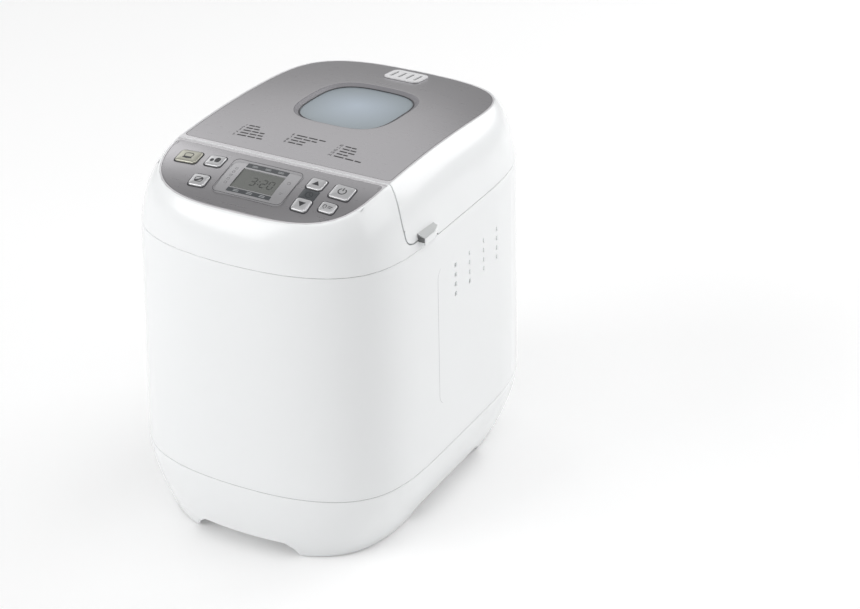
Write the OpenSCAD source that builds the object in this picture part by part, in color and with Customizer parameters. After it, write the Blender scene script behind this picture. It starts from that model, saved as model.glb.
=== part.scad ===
/* [Body] */
// Widest width of the body, at the lower seam
body_w = 225; // [216:1:245]
// Greatest depth of the body, at the lower seam
body_d = 305.5; // [298:0.5:325]
// Height of the seam between the base tray and the body shell
lower_seam = 57; // [52:0.5:60]
// Height of the seam between the body shell and the lid
upper_seam = 239.6; // [236:0.2:250]
// Height of the crown of the lid
crown_z = 292.5; // [290:0.5:310]
// How far each side leans in from the lower seam to the upper seam
body_draft = 3.8; // [2:0.1:6]
// Wall of the moulded body parts
wall = 2.6; // [2:0.1:3.2]
// Gap left at the seams between parts that move apart
seam_gap = 0.6; // [0.4:0.05:1]

/* [Base] */
// Height of the rubber feet
foot_h = 3; // [2:0.25:5]
// Diameter of the rubber feet
foot_d = 16; // [12:0.5:20]
// How far the sides curve in between the lower seam and the bottom
base_tuck = 20; // [14:0.5:22]
// Height of the arches between the corner feet
arch_h = 11; // [7:0.5:14]
// Width of the arch at the front and rear
arch_w = 92; // [80:1:104]

/* [Control panel] */
// Place of the gap between the lid and the control panel, on the centre line
panel_gap_y = -77.3; // [-80:0.1:-74]
// Width of the pale edge left along the gap beside the silver parts
gap_lip = 1.8; // [1.2:0.1:2.6]
// Thickness of the fascia
fascia_t = 2; // [1.6:0.1:2.4]
// Clearance between a button and its hole
button_gap = 0.4; // [0.3:0.05:0.6]
// Travel of a button
button_travel = 0.8; // [0.5:0.1:1.2]
// How far a button stands out of the fascia
button_rise = 1.2; // [1:0.1:1.8]
// Width of the display window
lcd_w = 38; // [32:0.5:42]
// Depth of the display window, along the panel
lcd_d = 31; // [26:0.5:32]

/* [Lid] */
// Half width of the silver top plate
plate_half_w = 88.5; // [84:0.5:92]
// Thickness of the silver top plate
plate_t = 2; // [1.6:0.1:2.6]
// Width of the window glass
window_w = 70; // [60:1:74]
// Length of the window glass, front to rear
window_l = 77; // [66:1:80]
// How far the centre of the window lies behind the centre of the pan
window_back = 1.5; // [-2:0.5:4]
// Width of the sloped recess around the window glass
window_bevel = 5.5; // [4:0.25:6]
// Width of the steam vent
vent_w = 30; // [24:0.5:34]
// Length of the steam vent, front to rear
vent_l = 23; // [18:0.5:24]
// Angle that the lid opens to
lid_open = 75; // [60:1:80]
// Diameter of the hinge pins
hinge_pin_d = 4; // [3:0.25:5]
// Radial running clearance of the hinge pins
hinge_fit = 0.08; // [0.03:0.01:0.1]

/* [Oven] */
// Inside width of the oven chamber
chamber_w = 168; // [164:1:172]
// Inside depth of the oven chamber, front to rear
chamber_l = 160; // [156:1:164]
// Room left between the oven chamber and the rear of the body
oven_back = 40.75; // [40:0.25:44]
// Height of the chamber floor
chamber_z = 72; // [70:0.5:74]
// Sheet thickness of the chamber
chamber_t = 0.8; // [0.6:0.1:1.2]
// Diameter of the tubular heating element
heater_d = 6.5; // [5.5:0.5:8]

/* [Bread pan] */
// Outside width of the pan at its mouth
pan_w = 136; // [130:1:138]
// Outside depth of the pan at its mouth, front to rear
pan_l = 118; // [112:1:120]
// Height of the pan
pan_h = 132; // [120:1:134]
// Wall of the pan
pan_t = 1.6; // [1.2:0.1:2.4]
// Diameter of the wire of the pan handle
handle_d = 4; // [3:0.25:4.5]

/* [Drive] */
// Diameter of the paddle shaft
shaft_d = 8; // [6:0.5:9]
// Radial running clearance of the shafts
shaft_fit = 0.05; // [0.02:0.01:0.1]
// Pitch diameter of the large pulley
pulley_d = 84; // [72:1:90]
// Pitch diameter of the motor pulley
pinion_d = 14; // [12:0.5:18]
// Number of teeth on the motor pulley
pinion_teeth = 12; // [10:1:16]
// Width of the drive belt
belt_w = 7; // [5:0.5:8]
// Diameter of the motor
motor_d = 62; // [52:1:66]
// Height of the motor
motor_h = 58; // [48:1:64]
// Room left between the motor and the front of the body
motor_front = 9; // [8:0.25:14]

/* [Hidden] */

ring_n = 52;                       // points round each outline, in four equal quarters
front = -body_d / 2;
rear = body_d / 2;
half_w = body_w / 2;
widest_y = 15;                     // where the body is widest
seam_front_in = 2.1;
seam_rear_in = 1.9;
rim_front = front + 13.9;
rim_rear = rear - 19.5;
oven_y = rear - oven_back - chamber_l / 2;   // centre of the chamber and the pan
window_y = oven_y + window_back;
panel_y = (rim_front + panel_gap_y) / 2;     // middle of the control panel
panel_d = panel_gap_y - rim_front;
lip = 0.8;                         // white edge left round the silver parts
gap_bow = 1000;                    // radius of the panel gap in plan
gap_half = 0.6;
crown_y = -19.8;
deck_z = upper_seam - 3;
deck_t = 2.4;
skirt_z = upper_seam + seam_gap;   // lower edge of the lid's skirt
strip_z = upper_seam + 6.4;        // top of the fixed strip below the lid's front corner
hinge_y = rear - 22.75;
hinge_z = upper_seam + 18.4;
roll_gap = 0.4;
bridge_half = 82;                  // fixed hinge bridge at the rear
bridge_front = hinge_y - 4;
ear_x = 46;                        // hinge ears, either side of the middle
ear_t = 6;
ear_r = 6;
ear_foot = 2.4;
arm_t = 5.4;
arm_gap = 0.5;
arm_r = 4.8;
arm_top = hinge_z + 12;
nose_t = 1.3;                      // thin skin of the lid where it laps the panel housing
nose_in = 8;                       // how far the lid's side laps forward
fit = 0.35;                        // clearance between bodies
skirt_low = 1.2;                   // lower edge of the base skirt
floor_z = skirt_low + arch_h + 1.8;
floor_t = 2.4;
chassis_z = floor_z + 22;
chassis_t = 2;
pulley_z = floor_z + 6;
shell_low = lower_seam + 0.3;
shell_top = upper_seam - 0.2;
liner_z = upper_seam + 3.4;
liner_t = 1.2;
flange_t = chamber_t;
flange_out = 9;
seal_out = 4;                      // outer edge of the seal, past the chamber's inside
seal_w = 3;
motor_y = front + motor_front + motor_d / 2;
motor_reach = oven_y - motor_y;
pan_z = chamber_z + 14;
pan_wall_w = pan_w - 4;            // pan wall inside its rolled rim
pan_wall_l = pan_l - 4;
pan_taper = 0.94;
pan_r = 22;
collar_r = 29;
bush_r = 8;
pivot_z = pan_z + pan_h - 12;
pivot_x = pan_w / 2 + 4.5;
handle_r = handle_d / 2;
handle_reach = pan_l / 2 + 4;
handle_rise = asin((12 + handle_r + fit) / handle_reach);
sensor_z = chamber_z + 78;
grille_y = rim_rear - 21.75;
cord_x = -30;
cord_z = 80;

// ---- outlines and the smooth outer form ----

function lerp(a, b, t) = a + (b - a) * t;
function spow(v, e) = (v < 0 ? -1 : 1) * pow(abs(v), e);
function flat(a) = [for (b = a) for (c = b) c];

// Turns round an outline, closer together along its nearly straight sides
function turn(i) =
    let (q = floor(4 * i / ring_n), u = 4 * i / ring_n - q)
    q % 2 == 0 ? 90 * (q + pow(u, 1.6)) : 90 * (q + 1 - pow(1 - u, 1.6));

// Closed outline: bowed front quarter and rounder rear quarter, meeting at the widest line
function plan(w, f, r, nf, mf, nr, mr) =
    [for (i = [0 : ring_n - 1])
        let (a = turn(i), c = cos(a), s = sin(a))
        s < 0 ? [w * spow(c, 2 / nf), widest_y + (widest_y - f) * spow(s, 2 / mf)]
              : [w * spow(c, 2 / nr), widest_y + (r - widest_y) * spow(s, 2 / mr)]];

// Outline of the body part-way up: k = 0 at the lower seam, 1 at the upper seam
function body_plan(k, inset) =
    plan(half_w - body_draft * k - inset, front + seam_front_in * k + inset,
         rear - seam_rear_in * k - inset, 2.24, 6, 2.6, 3.8);

// Outline of the shoulder: a = 0 at the upper seam, 1 at the rim of the top
function shoulder_plan(a, inset) =
    plan(lerp(half_w - body_draft, plate_half_w, a) - inset,
         lerp(front + seam_front_in, rim_front, a) + inset,
         lerp(rear - seam_rear_in, rim_rear, a) - inset,
         lerp(2.24, 2.75, a), lerp(6, 8, a), lerp(2.6, 3.4, a), lerp(3.8, 5, a));

// Rear face of the lid on the centre line, and the rolled edge that meets it at the hinge axis
function rear_face(z) =
    let (t = (z - skirt_z) / (lid_z(0, rim_rear) - skirt_z))
    lerp(rear - seam_rear_in, rim_rear, lean(t));
roll_r = rear_face(hinge_z) - hinge_y;

function at_z(pts, z) = [for (p = pts) [p[0], p[1], z]];

// Heights of the top: a shallow dome over the lid, falling in a curve over the panel
function gap_y(x) = panel_gap_y + x * x / (2 * gap_bow);
function lid_z(x, y) = crown_z - 0.000492 * pow(y - crown_y, 2) - 0.000308 * x * x;
function panel_z(x, y) =
    let (g = gap_y(x), d = y - g) lid_z(x, g) + 0.088 * d - 0.0031 * d * d;
function top_z(x, y, is_panel) = is_panel ? panel_z(x, y) : lid_z(x, y);

// Inward lean of the shoulder at height share t
function lean(t) = 0.6 * t + 0.4 * pow(t, 4);

function form_ring(t, inset, drop, z0, is_panel) =
    let (ring = shoulder_plan(lean(t), inset), rim = shoulder_plan(1, inset))
    [for (i = [0 : ring_n - 1])
        [ring[i][0], ring[i][1],
         lerp(z0, top_z(rim[i][0], rim[i][1], is_panel) - drop, t)]];

function top_ring(k, inset, drop, is_panel) =
    let (rim = shoulder_plan(1, inset), cy = (rim_front + rim_rear) / 2)
    [for (p = rim)
        let (x = p[0] * k, y = cy + (p[1] - cy) * k)
        [x, y, top_z(x, y, is_panel) - drop]];

// Shares of the rim's size at which the top is cut: closer together where the panel curves
function steps(is_panel) = is_panel ? [0.9, 0.8, 0.7, 0.6, 0.5, 0.02] : [0.75, 0.5, 0.25, 0.02];

// Solid through a stack of rings, bottom to top
module loft(rings) {
    n = len(rings[0]);
    m = len(rings);
    points = flat(rings);
    sides = [for (j = [0 : m - 2]) for (i = [0 : n - 1])
        let (a = j * n + i, b = j * n + (i + 1) % n)
        each [[a, a + n, b], [b, a + n, b + n]]];
    bottom = [for (i = [0 : n - 1]) i];
    top = [for (i = [n - 1 : -1 : 0]) (m - 1) * n + i];
    polyhedron(points, concat(sides, [bottom], [top]), convexity = 6);
}

// The whole form above the upper seam, set in by inset and lowered by drop
module upper_form(inset, drop, z0, is_panel) {
    loft(concat(
        [for (t = [0, 0.25, 0.5, 0.75, 0.92, 1]) form_ring(t, inset, drop, z0, is_panel)],
        [for (k = steps(is_panel)) top_ring(k, inset, drop, is_panel)]));
}

// The same form with fewer rings, for faces inside the walls
module inner_form(inset, drop, z0, is_panel) {
    loft(concat(
        [for (t = [0, 0.68, 1]) form_ring(t, inset, drop, z0, is_panel)],
        [for (k = is_panel ? [0.8, 0.6, 0.02] : [0.5, 0.02]) top_ring(k, inset, drop, is_panel)]));
}

// A y-z profile carried across the width, bowed in plan like the panel gap
module bowed(profile) {
    half = half_w + 4;
    loft([for (i = [0 : 8])
        let (x = -half + i * half / 4) [for (p = profile) [x, gap_y(x) + p[0], p[1]]]]);
}

// Front edge of the lid's side, seen from the side, from the top down; g widens it
function s_curve(g) = concat(
    [[g, crown_z + 20], [g, crown_z - 4]],
    [for (u = [0.2 : 0.2 : 1]) [g - nose_in * sin(90 * u), lerp(crown_z - 5, upper_seam + 18, u)]],
    [for (a = [180 : 22.5 : 270])
        [-nose_in + 7 + (7 - g) * cos(a), strip_z + 7 + (7 - g) * sin(a)]]);

module lid_region() {
    bowed(concat([[32, skirt_z], [2 * body_d, skirt_z], [2 * body_d, crown_z + 20]],
                 s_curve(gap_half), [[26, strip_z + gap_half]]));
}

module housing_region() {
    curve = s_curve(-gap_half);
    n = len(curve);
    bowed(concat([[-body_d, upper_seam], [31, upper_seam], [25.4, strip_z - gap_half]],
                 [for (i = [n - 1 : -1 : 0]) curve[i]], [[-body_d, crown_z + 20]]));
}

// Slab across the width between two distances from the panel gap
module gap_slab(d0, d1, z0, z1) {
    bowed([[d0, z0], [d1, z0], [d1, z1], [d0, z1]]);
}

// Everything above the top surface lowered by drop, inside the rim set in by inset
module above_top(inset, drop, is_panel) {
    loft(concat(
        [for (i = [len(steps(is_panel)) - 1 : -1 : 0])
            top_ring(steps(is_panel)[i], inset, drop, is_panel)],
        [top_ring(1, inset, drop, is_panel)],
        [at_z(shoulder_plan(1, inset), crown_z + 20)]));
}

// ---- small shapes ----

module rounded(w, l, r) {
    square([w - 2 * r, l], center = true);
    square([w, l - 2 * r], center = true);
    for (x = [-1, 1], y = [-1, 1])
        translate([x * (w / 2 - r), y * (l / 2 - r)]) circle(r = r, $fn = 48);
}

module tile(w, l, r, z0, z1) {
    translate([0, 0, z0]) linear_extrude(z1 - z0) rounded(w, l, r);
}

module box(x0, x1, y0, y1, z0, z1) {
    translate([x0, y0, z0]) cube([x1 - x0, y1 - y0, z1 - z0]);
}

module disc(r, z0, z1) {
    translate([0, 0, z0]) cylinder(r = r, h = z1 - z0, $fn = 64);
}

// Cylinder along X from x0 to x1
module bar(r, x0, x1) {
    translate([x0, 0, 0]) rotate([0, 90, 0]) cylinder(r = r, h = x1 - x0, $fn = 64);
}

module prism(points, z0, z1) {
    translate([0, 0, z0]) linear_extrude(z1 - z0) polygon(points);
}

// Places its children on the panel surface, tilted with it both ways
module on_panel(x, y) {
    gy = 0.088 - 0.0062 * (y - gap_y(x));
    gx = panel_z(x + 0.5, y) - panel_z(x - 0.5, y);
    b = -atan(gx);
    translate([x, y, panel_z(x, y)]) rotate([atan(gy * cos(b)), b, 0]) children();
}

// Places its children on the lid's top surface, tilted with it
module on_lid(x, y) {
    translate([x, y, lid_z(x, y)]) rotate([atan(-0.000984 * (y - crown_y)), 0, 0]) children();
}

// ---- base ----

function tuck(z) = base_tuck * pow(1 - (z - skirt_low) / (lower_seam + 3 - skirt_low), 1.6);
function base_ring(z, inset) =
    let (t = tuck(z))
    at_z(plan(half_w - t - inset, front + t * 0.46 + inset, rear - t * 0.46 - inset,
              2.24, 6, 2.6, 3.8), z);

module base_form(inset, z0, z1) {
    loft([for (u = inset > 0 ? [0, 0.35, 1] : [0, 0.15, 0.35, 0.6, 1])
        base_ring(lerp(z0, z1, u), inset)]);
}

module arch(half) {
    polygon([[-half, -1], [half, -1], [half - 5, skirt_low + arch_h * 0.55],
             [half - 11, skirt_low + arch_h * 0.93], [half - 20, skirt_low + arch_h],
             [20 - half, skirt_low + arch_h], [11 - half, skirt_low + arch_h * 0.93],
             [5 - half, skirt_low + arch_h * 0.55]]);
}

foot_x = 68;
foot_y0 = front + 42;
foot_y1 = rear - 42;
module each_foot() {
    for (x = [-foot_x, foot_x], y = [foot_y0, foot_y1]) translate([x, y, 0]) children();
}

post_x = 38;
post_y0 = motor_y + 44;
post_y1 = oven_y + 36;
module each_post() {
    for (x = [-post_x, post_x], y = [post_y0, post_y1]) translate([x, y, 0]) children();
}

module base_tray() color("white") {
    difference() {
        union() {
            difference() {
                base_form(0, skirt_low, lower_seam);
                base_form(wall, skirt_low - 1, lower_seam + 1);
                translate([0, body_d, 0]) rotate([90, 0, 0]) linear_extrude(2 * body_d) arch(arch_w / 2);
                translate([-body_w, 0, 0]) rotate([90, 0, 90]) linear_extrude(2 * body_w) arch(arch_w / 2 + 12);
            }
            intersection() {
                base_form(wall / 2, skirt_low, lower_seam);
                box(-body_w, body_w, front, rear, floor_z, floor_z + floor_t);
            }
            each_foot() disc(foot_d / 2 + 3, skirt_low + 1, floor_z + 0.2);
            each_post() disc(5, floor_z, chassis_z);
        }
        each_foot() disc(foot_d / 2 + 0.1, -1, foot_h);
        each_post() disc(1.4, floor_z - 1, chassis_z + 1);
        for (x = [-24 : 8 : 24]) box(x - 1.6, x + 1.6, oven_y + 46, oven_y + 82, floor_z - 1, floor_z + 4);
    }
}

module rubber_feet() color("dimgray") {
    each_foot() {
        disc(foot_d / 2, 0.6, foot_h);
        disc(foot_d / 2 - 0.6, 0, 1);
    }
}

module base_screws() color("silver") {
    each_post() {
        disc(3.6, floor_z - 2, floor_z);
        disc(1.4, floor_z - 1, floor_z + 14);
    }
}

// ---- body shell ----

vent_row = 7.8;
vent_top = 203.5;
vent_y0 = -13.5;
vent_step = 22.1;
vent_rows = 8;
module body_form(inset, z0, z1) {
    function k(z) = (z - lower_seam) / (upper_seam - lower_seam);
    loft([for (z = [z0, z1]) at_z(body_plan(k(z), inset), z)]);
}

// Rear face of the body at the cord inlet
cord_k = (cord_z - lower_seam) / (upper_seam - lower_seam);
cord_y = widest_y + (rear - seam_rear_in * cord_k - widest_y)
    * pow(1 - pow(abs(cord_x) / (half_w - body_draft * cord_k), 2.6), 1 / 3.8);

module vent_slots() {
    for (c = [0 : 3], r = [0 : vent_rows - 1])
        translate([0, vent_y0 + c * vent_step, vent_top - r * vent_row])
            cube([2 * body_w, 1.3, 3.6], center = true);
}

module body_shell() color("white") {
    difference() {
        body_form(0, shell_low, shell_top);
        body_form(wall, shell_low - 1, shell_top + 1);
        vent_slots();
        translate([cord_x, cord_y, cord_z]) rotate([90, 0, 0]) {
            cylinder(r = 7, h = 20, $fn = 48);
            translate([0, 0, -20]) cylinder(r = 9.2, h = 20.9, $fn = 48);
        }
    }
}

module cord_inlet() color("dimgray") {
    translate([cord_x, cord_y, cord_z]) rotate([90, 0, 0]) difference() {
        union() {
            translate([0, 0, -0.5]) cylinder(r = 9, h = 1.38, $fn = 48);
            cylinder(r = 6.6, h = 8, $fn = 48);
            translate([0, 0, 5.4]) cylinder(r = 8.4, h = 2, $fn = 48);
        }
        translate([0, 0, -1]) cylinder(r = 3.6, h = 12, $fn = 48);
    }
}

// ---- top frame: control panel housing, deck and hinge bridge ----

module deck_outline() polygon(body_plan(1, wall + fit));

module hinge_axis() {
    translate([0, hinge_y, hinge_z]) children();
}

module bridge_space(extra, z0) {
    box(-bridge_half - extra, bridge_half + extra, bridge_front - extra, body_d, z0, hinge_z);
}

// Space behind the hinge axis that the lid's rear face takes when it is open
module open_lid_space() {
    top = lid_z(0, rim_rear);
    hinge_axis() rotate([-lid_open, 0, 0]) rotate([90, 0, 90]) translate([0, 0, -body_w / 2])
        linear_extrude(body_w) polygon(concat([[0, top - hinge_z], [0, 0]],
            [for (u = [0 : 0.125 : 1]) let (z = lerp(hinge_z, top, u))
                [rear_face(z) - hinge_y + roll_gap, z - hinge_z]]));
}

module top_frame() color("white") {
    difference() {
        union() {
            // outer skin of the panel housing and the strip below the lid's front corners
            difference() {
                intersection() {
                    upper_form(0, 0, upper_seam, true);
                    housing_region();
                }
                inner_form(wall, fascia_t + wall + 0.8, upper_seam - 1, true);
            }
            // return wall under the lid's lap, and rear wall of the housing
            difference() {
                intersection() {
                    inner_form(nose_t + 0.6, plate_t + wall + 0.6, upper_seam, true);
                    gap_slab(-14, -gap_half, upper_seam + 0.4, crown_z);
                }
                intersection() {
                    inner_form(nose_t + 0.6 + wall, plate_t + 2 * wall, upper_seam - 4, true);
                    gap_slab(-20, -gap_half - wall, upper_seam - 5, crown_z);
                }
            }
            intersection() {
                prism(body_plan(1, wall + fit + 0.1), deck_z - 1, upper_seam + 1.3);
                gap_slab(-gap_half - wall + 0.2, -gap_half - 0.2, deck_z - 2, upper_seam + 2);
            }
            // shelf that joins the skin to the tongue inside the body shell
            difference() {
                intersection() {
                    prism(body_plan(1, 0.3), upper_seam, upper_seam + 1.6);
                    housing_region();
                }
                prism(body_plan(1, wall + fit + 2), deck_z - 5, upper_seam + 5);
            }
            difference() {
                translate([0, 0, deck_z - deck_t - 6]) linear_extrude(shell_top - deck_z + deck_t + 6)
                    deck_outline();
                prism(body_plan(1, wall + fit + 2), deck_z - 20, deck_z - deck_t);
                prism(body_plan(1, wall + fit + 2), deck_z, upper_seam + 5);
            }
            intersection() {
                prism(body_plan(1, wall + fit + 0.5), upper_seam - 1, upper_seam + 1);
                gap_slab(-body_d, -gap_half - 1, upper_seam - 1, upper_seam + 1);
                difference() {
                    box(-body_w, body_w, front, rear, upper_seam - 1, upper_seam + 1);
                    prism(body_plan(1, wall + fit + 2), upper_seam - 2, upper_seam + 2);
                }
            }
            // hinge bridge with the trough that the lid's rolled edge turns in
            intersection() {
                inner_form(0, 0, upper_seam, false);
                bridge_space(0, upper_seam);
            }
            intersection() {
                translate([0, 0, deck_z]) linear_extrude(4) deck_outline();
                bridge_space(0, deck_z);
            }
        }
        tile_at_oven(chamber_w + 2 * chamber_t + 0.8, chamber_l + 2 * chamber_t + 0.8, 22,
                     deck_z - 10, deck_z + 5);
        hinge_axis() bar(roll_r + roll_gap, -bridge_half - 1, bridge_half + 1);
        open_lid_space();
        hinge_axis() for (s = [-1, 1])
            box(s * ear_x - ear_t / 2 - 2.2, s * ear_x + ear_t / 2 + 2.2, -6.2, 6.2,
                -roll_r - roll_gap - ear_foot - 0.2, 0);
        // seat of the fascia and the opening for the display and buttons
        intersection() {
            above_top(lip, fascia_t, true);
            gap_slab(-body_d, -gap_half - gap_lip, upper_seam, crown_z + 15);
        }
        intersection() {
            prism(shoulder_plan(1, 5), upper_seam + 12, crown_z);
            gap_slab(-body_d, -gap_half - wall - 1.2, upper_seam, crown_z + 15);
        }
        for (b = button_list)
            on_panel(b[0], b[1]) tile(b[2] + 2 * flange_w + 2 * fit, b[3] + 2 * flange_w + 2 * fit,
                                      3.2 + fit, -fascia_t - wall - 2, 0);
    }
}

module tile_at_oven(w, l, r, z0, z1) {
    translate([0, oven_y, 0]) tile(w, l, r, z0, z1);
}

// ---- control panel ----

// x, y from the panel's middle, width and depth: menu, size, crust, up, down, power, light
button_seats = [[-64.3, 11.3, 18, 13], [-42, 11.9, 13.5, 12], [-42.2, -9.9, 13.5, 11],
                [41.8, 12.3, 12.5, 12], [42.5, -10.3, 12.5, 11.5], [63.2, 11.1, 16, 14.5],
                [61.5, -6.4, 12, 9.5]];
button_list = [for (b = button_seats) [b[0], panel_y + b[1], b[2], b[3]]];
lcd_y = panel_y + 0.9;

switch_top = -8.4;                 // top of the switches, below the panel surface
flange_w = 1.2;                    // how far a button's flange reaches under the fascia
module button(n) {
    b = button_list[n];
    flange_top = -fascia_t - fit - 0.4;
    on_panel(b[0], b[1]) {
        intersection() {
            tile(b[2], b[3], 2.4, flange_top - 1, button_rise);
            translate([0, 0, -24]) sphere(r = 24 + button_rise + 0.3, $fn = 96);
        }
        tile(b[2] + 2 * flange_w, b[3] + 2 * flange_w, 3.2, flange_top - 1.4, flange_top);
        disc(1.6, switch_top + button_travel + fit, flange_top - 1);
    }
}

module button_menu() color("gainsboro") button(0);
module button_size() color("gainsboro") button(1);
module button_crust() color("gainsboro") button(2);
module button_up() color("gainsboro") button(3);
module button_down() color("gainsboro") button(4);
module button_power() color("gainsboro") button(5);
module button_light() color("gainsboro") button(6);

module fascia_panel() color("silver") {
    difference() {
        intersection() {
            difference() {
                above_top(lip + 0.1, fascia_t - 0.05, true);
                above_top(-5, 0, true);
            }
            gap_slab(-body_d, -gap_half - gap_lip - 0.2, upper_seam, crown_z + 10);
        }
        for (b = button_list)
            on_panel(b[0], b[1])
                tile(b[2] + 2 * button_gap, b[3] + 2 * button_gap, 2.4 + button_gap, -9, 9);
        on_panel(0, lcd_y) tile(lcd_w, lcd_d, 2, -9, 9);
    }
}

module lcd_lens() color("lightgray", 0.5) {
    on_panel(0, lcd_y) {
        tile(lcd_w - 0.3, lcd_d - 0.3, 1.9, -fascia_t - 1.2, -0.9);
        tile(lcd_w + 3, lcd_d + 3, 2, -fascia_t - 2.3, -fascia_t - 1.4);
    }
}

module lcd_module() color("darkslategray") {
    on_panel(0, lcd_y) {
        tile(lcd_w + 3, lcd_d, 1, -fascia_t - 5.4, -fascia_t - 2.3);
        for (x = [-1, 1]) box(x * (lcd_w / 2 - 2) - 1.5, x * (lcd_w / 2 - 2) + 1.5,
                              -lcd_d / 2 + 2, lcd_d / 2 - 2, -11.2, -fascia_t - 5);
    }
}

board_w = 2 * plate_half_w - 41;
board_l = panel_d - 21.5;
board_t = 1.6;
board_top = -11.4;
board_y = panel_y + 1.1;
module control_board() color("darkgreen") {
    on_panel(0, board_y) {
        difference() {
            tile(board_w, board_l, 4, board_top - board_t, board_top);
            for (x = [-1, 1]) translate([x * (board_w / 2 - 4), 6 - board_l / 2, 0])
                disc(1.7, board_top - 8, 0);
        }
        translate([-6, 2, 0]) tile(18, 14, 0.5, board_top - board_t - 2.2, board_top - board_t);
    }
    for (b = button_list)
        on_panel(b[0], b[1]) {
            tile(6, 6, 0.6, switch_top - 5.6, switch_top - 1);
            disc(1.5, switch_top - 1.2, switch_top);
        }
}

// ---- oven ----

module oven_chamber() color("silver") {
    difference() {
        union() {
            tile_at_oven(chamber_w + 2 * chamber_t, chamber_l + 2 * chamber_t, 20 + chamber_t,
                         chamber_z - chamber_t, deck_z + flange_t);
            tile_at_oven(chamber_w + 2 * flange_out, chamber_l + 2 * flange_out, 26,
                         deck_z, deck_z + flange_t);
        }
        tile_at_oven(chamber_w, chamber_l, 20, chamber_z, deck_z + 5);
        translate([0, oven_y, 0]) disc(11, chamber_z - 5, chamber_z + 5);
        for (x = [-12, 12]) translate([x, oven_y + chamber_l / 2, heater_z]) rotate([90, 0, 0])
            cylinder(r = 5.2, h = 20, center = true, $fn = 48);
        translate([chamber_w / 2, oven_y, sensor_z]) rotate([0, 90, 0])
            cylinder(r = 3, h = 10, center = true, $fn = 48);
    }
}

heater_z = chamber_z + 21;
heater_x = chamber_w / 2 - 8.5;
heater_y = chamber_l / 2 - 9.5;
heater_bend = 22;
leg_bend = 9;
module tube(len) {
    rotate([0, 90, 0]) cylinder(r = heater_d / 2, h = len, $fn = 48);
}
module elbow(r) {
    rotate_extrude(angle = 90, $fn = 64) translate([r, 0]) circle(r = heater_d / 2, $fn = 48);
}
module heating_element() color("dimgray") {
    leg_x = 12;
    leg_len = 16;
    side = heater_x - heater_bend;
    translate([0, oven_y, heater_z]) {
        translate([-side, -heater_y, 0]) tube(2 * side);
        for (s = [-1, 1]) {
            translate([s * heater_x, heater_bend - heater_y, 0]) rotate([0, 0, 90])
                tube(2 * (heater_y - heater_bend));
            translate([s * side, heater_bend - heater_y, 0]) rotate([0, 0, s > 0 ? -90 : 180])
                elbow(heater_bend);
            translate([s * side, heater_y - heater_bend, 0]) rotate([0, 0, s > 0 ? 0 : 90])
                elbow(heater_bend);
            translate([s > 0 ? leg_x + leg_bend : -side, heater_y, 0])
                tube(side - leg_x - leg_bend);
            translate([s * (leg_x + leg_bend), heater_y + leg_bend, 0])
                rotate([0, 0, s > 0 ? 180 : -90]) elbow(leg_bend);
            translate([s * leg_x, heater_y + leg_bend, 0]) rotate([0, 0, 90]) tube(leg_len);
        }
    }
}

module heater_clips() color("silver") {
    r = heater_d / 2;
    translate([0, oven_y, heater_z]) {
        for (s = [-1, 1]) {
            box(min(s * (heater_x - r), s * chamber_w / 2), max(s * (heater_x - r), s * chamber_w / 2),
                -5, 5, -r - 1.5, -r);
            box(s > 0 ? chamber_w / 2 - 1.2 : -chamber_w / 2, s > 0 ? chamber_w / 2 : 1.2 - chamber_w / 2,
                -5, 5, -r - 8, -r);
        }
        box(-5, 5, -chamber_l / 2, r - heater_y, -r - 1.5, -r);
        box(-5, 5, -chamber_l / 2, 1.2 - chamber_l / 2, -r - 8, -r);
    }
    for (x = [-12, 12]) translate([x, oven_y + chamber_l / 2 + chamber_t + 3, heater_z])
        rotate([90, 0, 0]) difference() {
            union() {
                cylinder(r = 5, h = 4.2, $fn = 48);
                cylinder(r = 7, h = 3, $fn = 48);
            }
            translate([0, 0, -1]) cylinder(r = r_tube(), h = 12, $fn = 48);
        }
}
function r_tube() = heater_d / 2 + 0.05;

module temp_sensor() color("silver") {
    translate([chamber_w / 2, oven_y, sensor_z]) rotate([0, 90, 0]) {
        translate([0, 0, -9]) cylinder(r = 2.6, h = 16, $fn = 48);
        translate([0, 0, chamber_t]) cylinder(r = 5, h = 2, $fn = 48);
    }
}

module pan_seat() color("silver") {
    translate([0, oven_y, 0]) difference() {
        union() {
            disc(collar_r + 4, chamber_z, chamber_z + 9);
            tile(96, 20, 6, chamber_z, chamber_z + 2);
        }
        disc(collar_r + fit, chamber_z - 1, chamber_z + 20);
        for (x = [-43, 43]) translate([x, 0, 0]) disc(2, chamber_z - 1, chamber_z + 5);
    }
}

// ---- bread pan ----

module pan_body(w, l, r, z0, z1) {
    translate([0, oven_y, z1]) mirror([0, 0, 1])
        linear_extrude(z1 - z0, scale = lerp(1, pan_taper, (z1 - z0) / pan_h)) rounded(w, l, r);
}

module bread_pan() color("dimgray") {
    top = pan_z + pan_h;
    difference() {
        union() {
            pan_body(pan_wall_w, pan_wall_l, pan_r, pan_z, top);
            tile_at_oven(pan_w, pan_l, pan_r + 2, top - 1.8, top);
        }
        translate([0, 0, 0.02]) pan_body(pan_wall_w - 2 * pan_t, pan_wall_l - 2 * pan_t, pan_r - pan_t,
                                         pan_z + pan_t, top);
        translate([0, oven_y, 0]) disc(bush_r, pan_z - 1, pan_z + 5);
    }
}

module pan_ears() color("silver") {
    for (s = [-1, 1]) translate([0, oven_y, 0]) difference() {
        box(s > 0 ? pan_wall_w / 2 - 0.3 : -pan_wall_w / 2 - 1.5,
            s > 0 ? pan_wall_w / 2 + 1.5 : 0.3 - pan_wall_w / 2, -9, 9, pivot_z - 8, pivot_z + 7);
        translate([s * pan_wall_w / 2, 0, pivot_z]) rotate([0, 90, 0])
            cylinder(r = handle_r + shaft_fit, h = 12, center = true, $fn = 48);
    }
}

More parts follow.
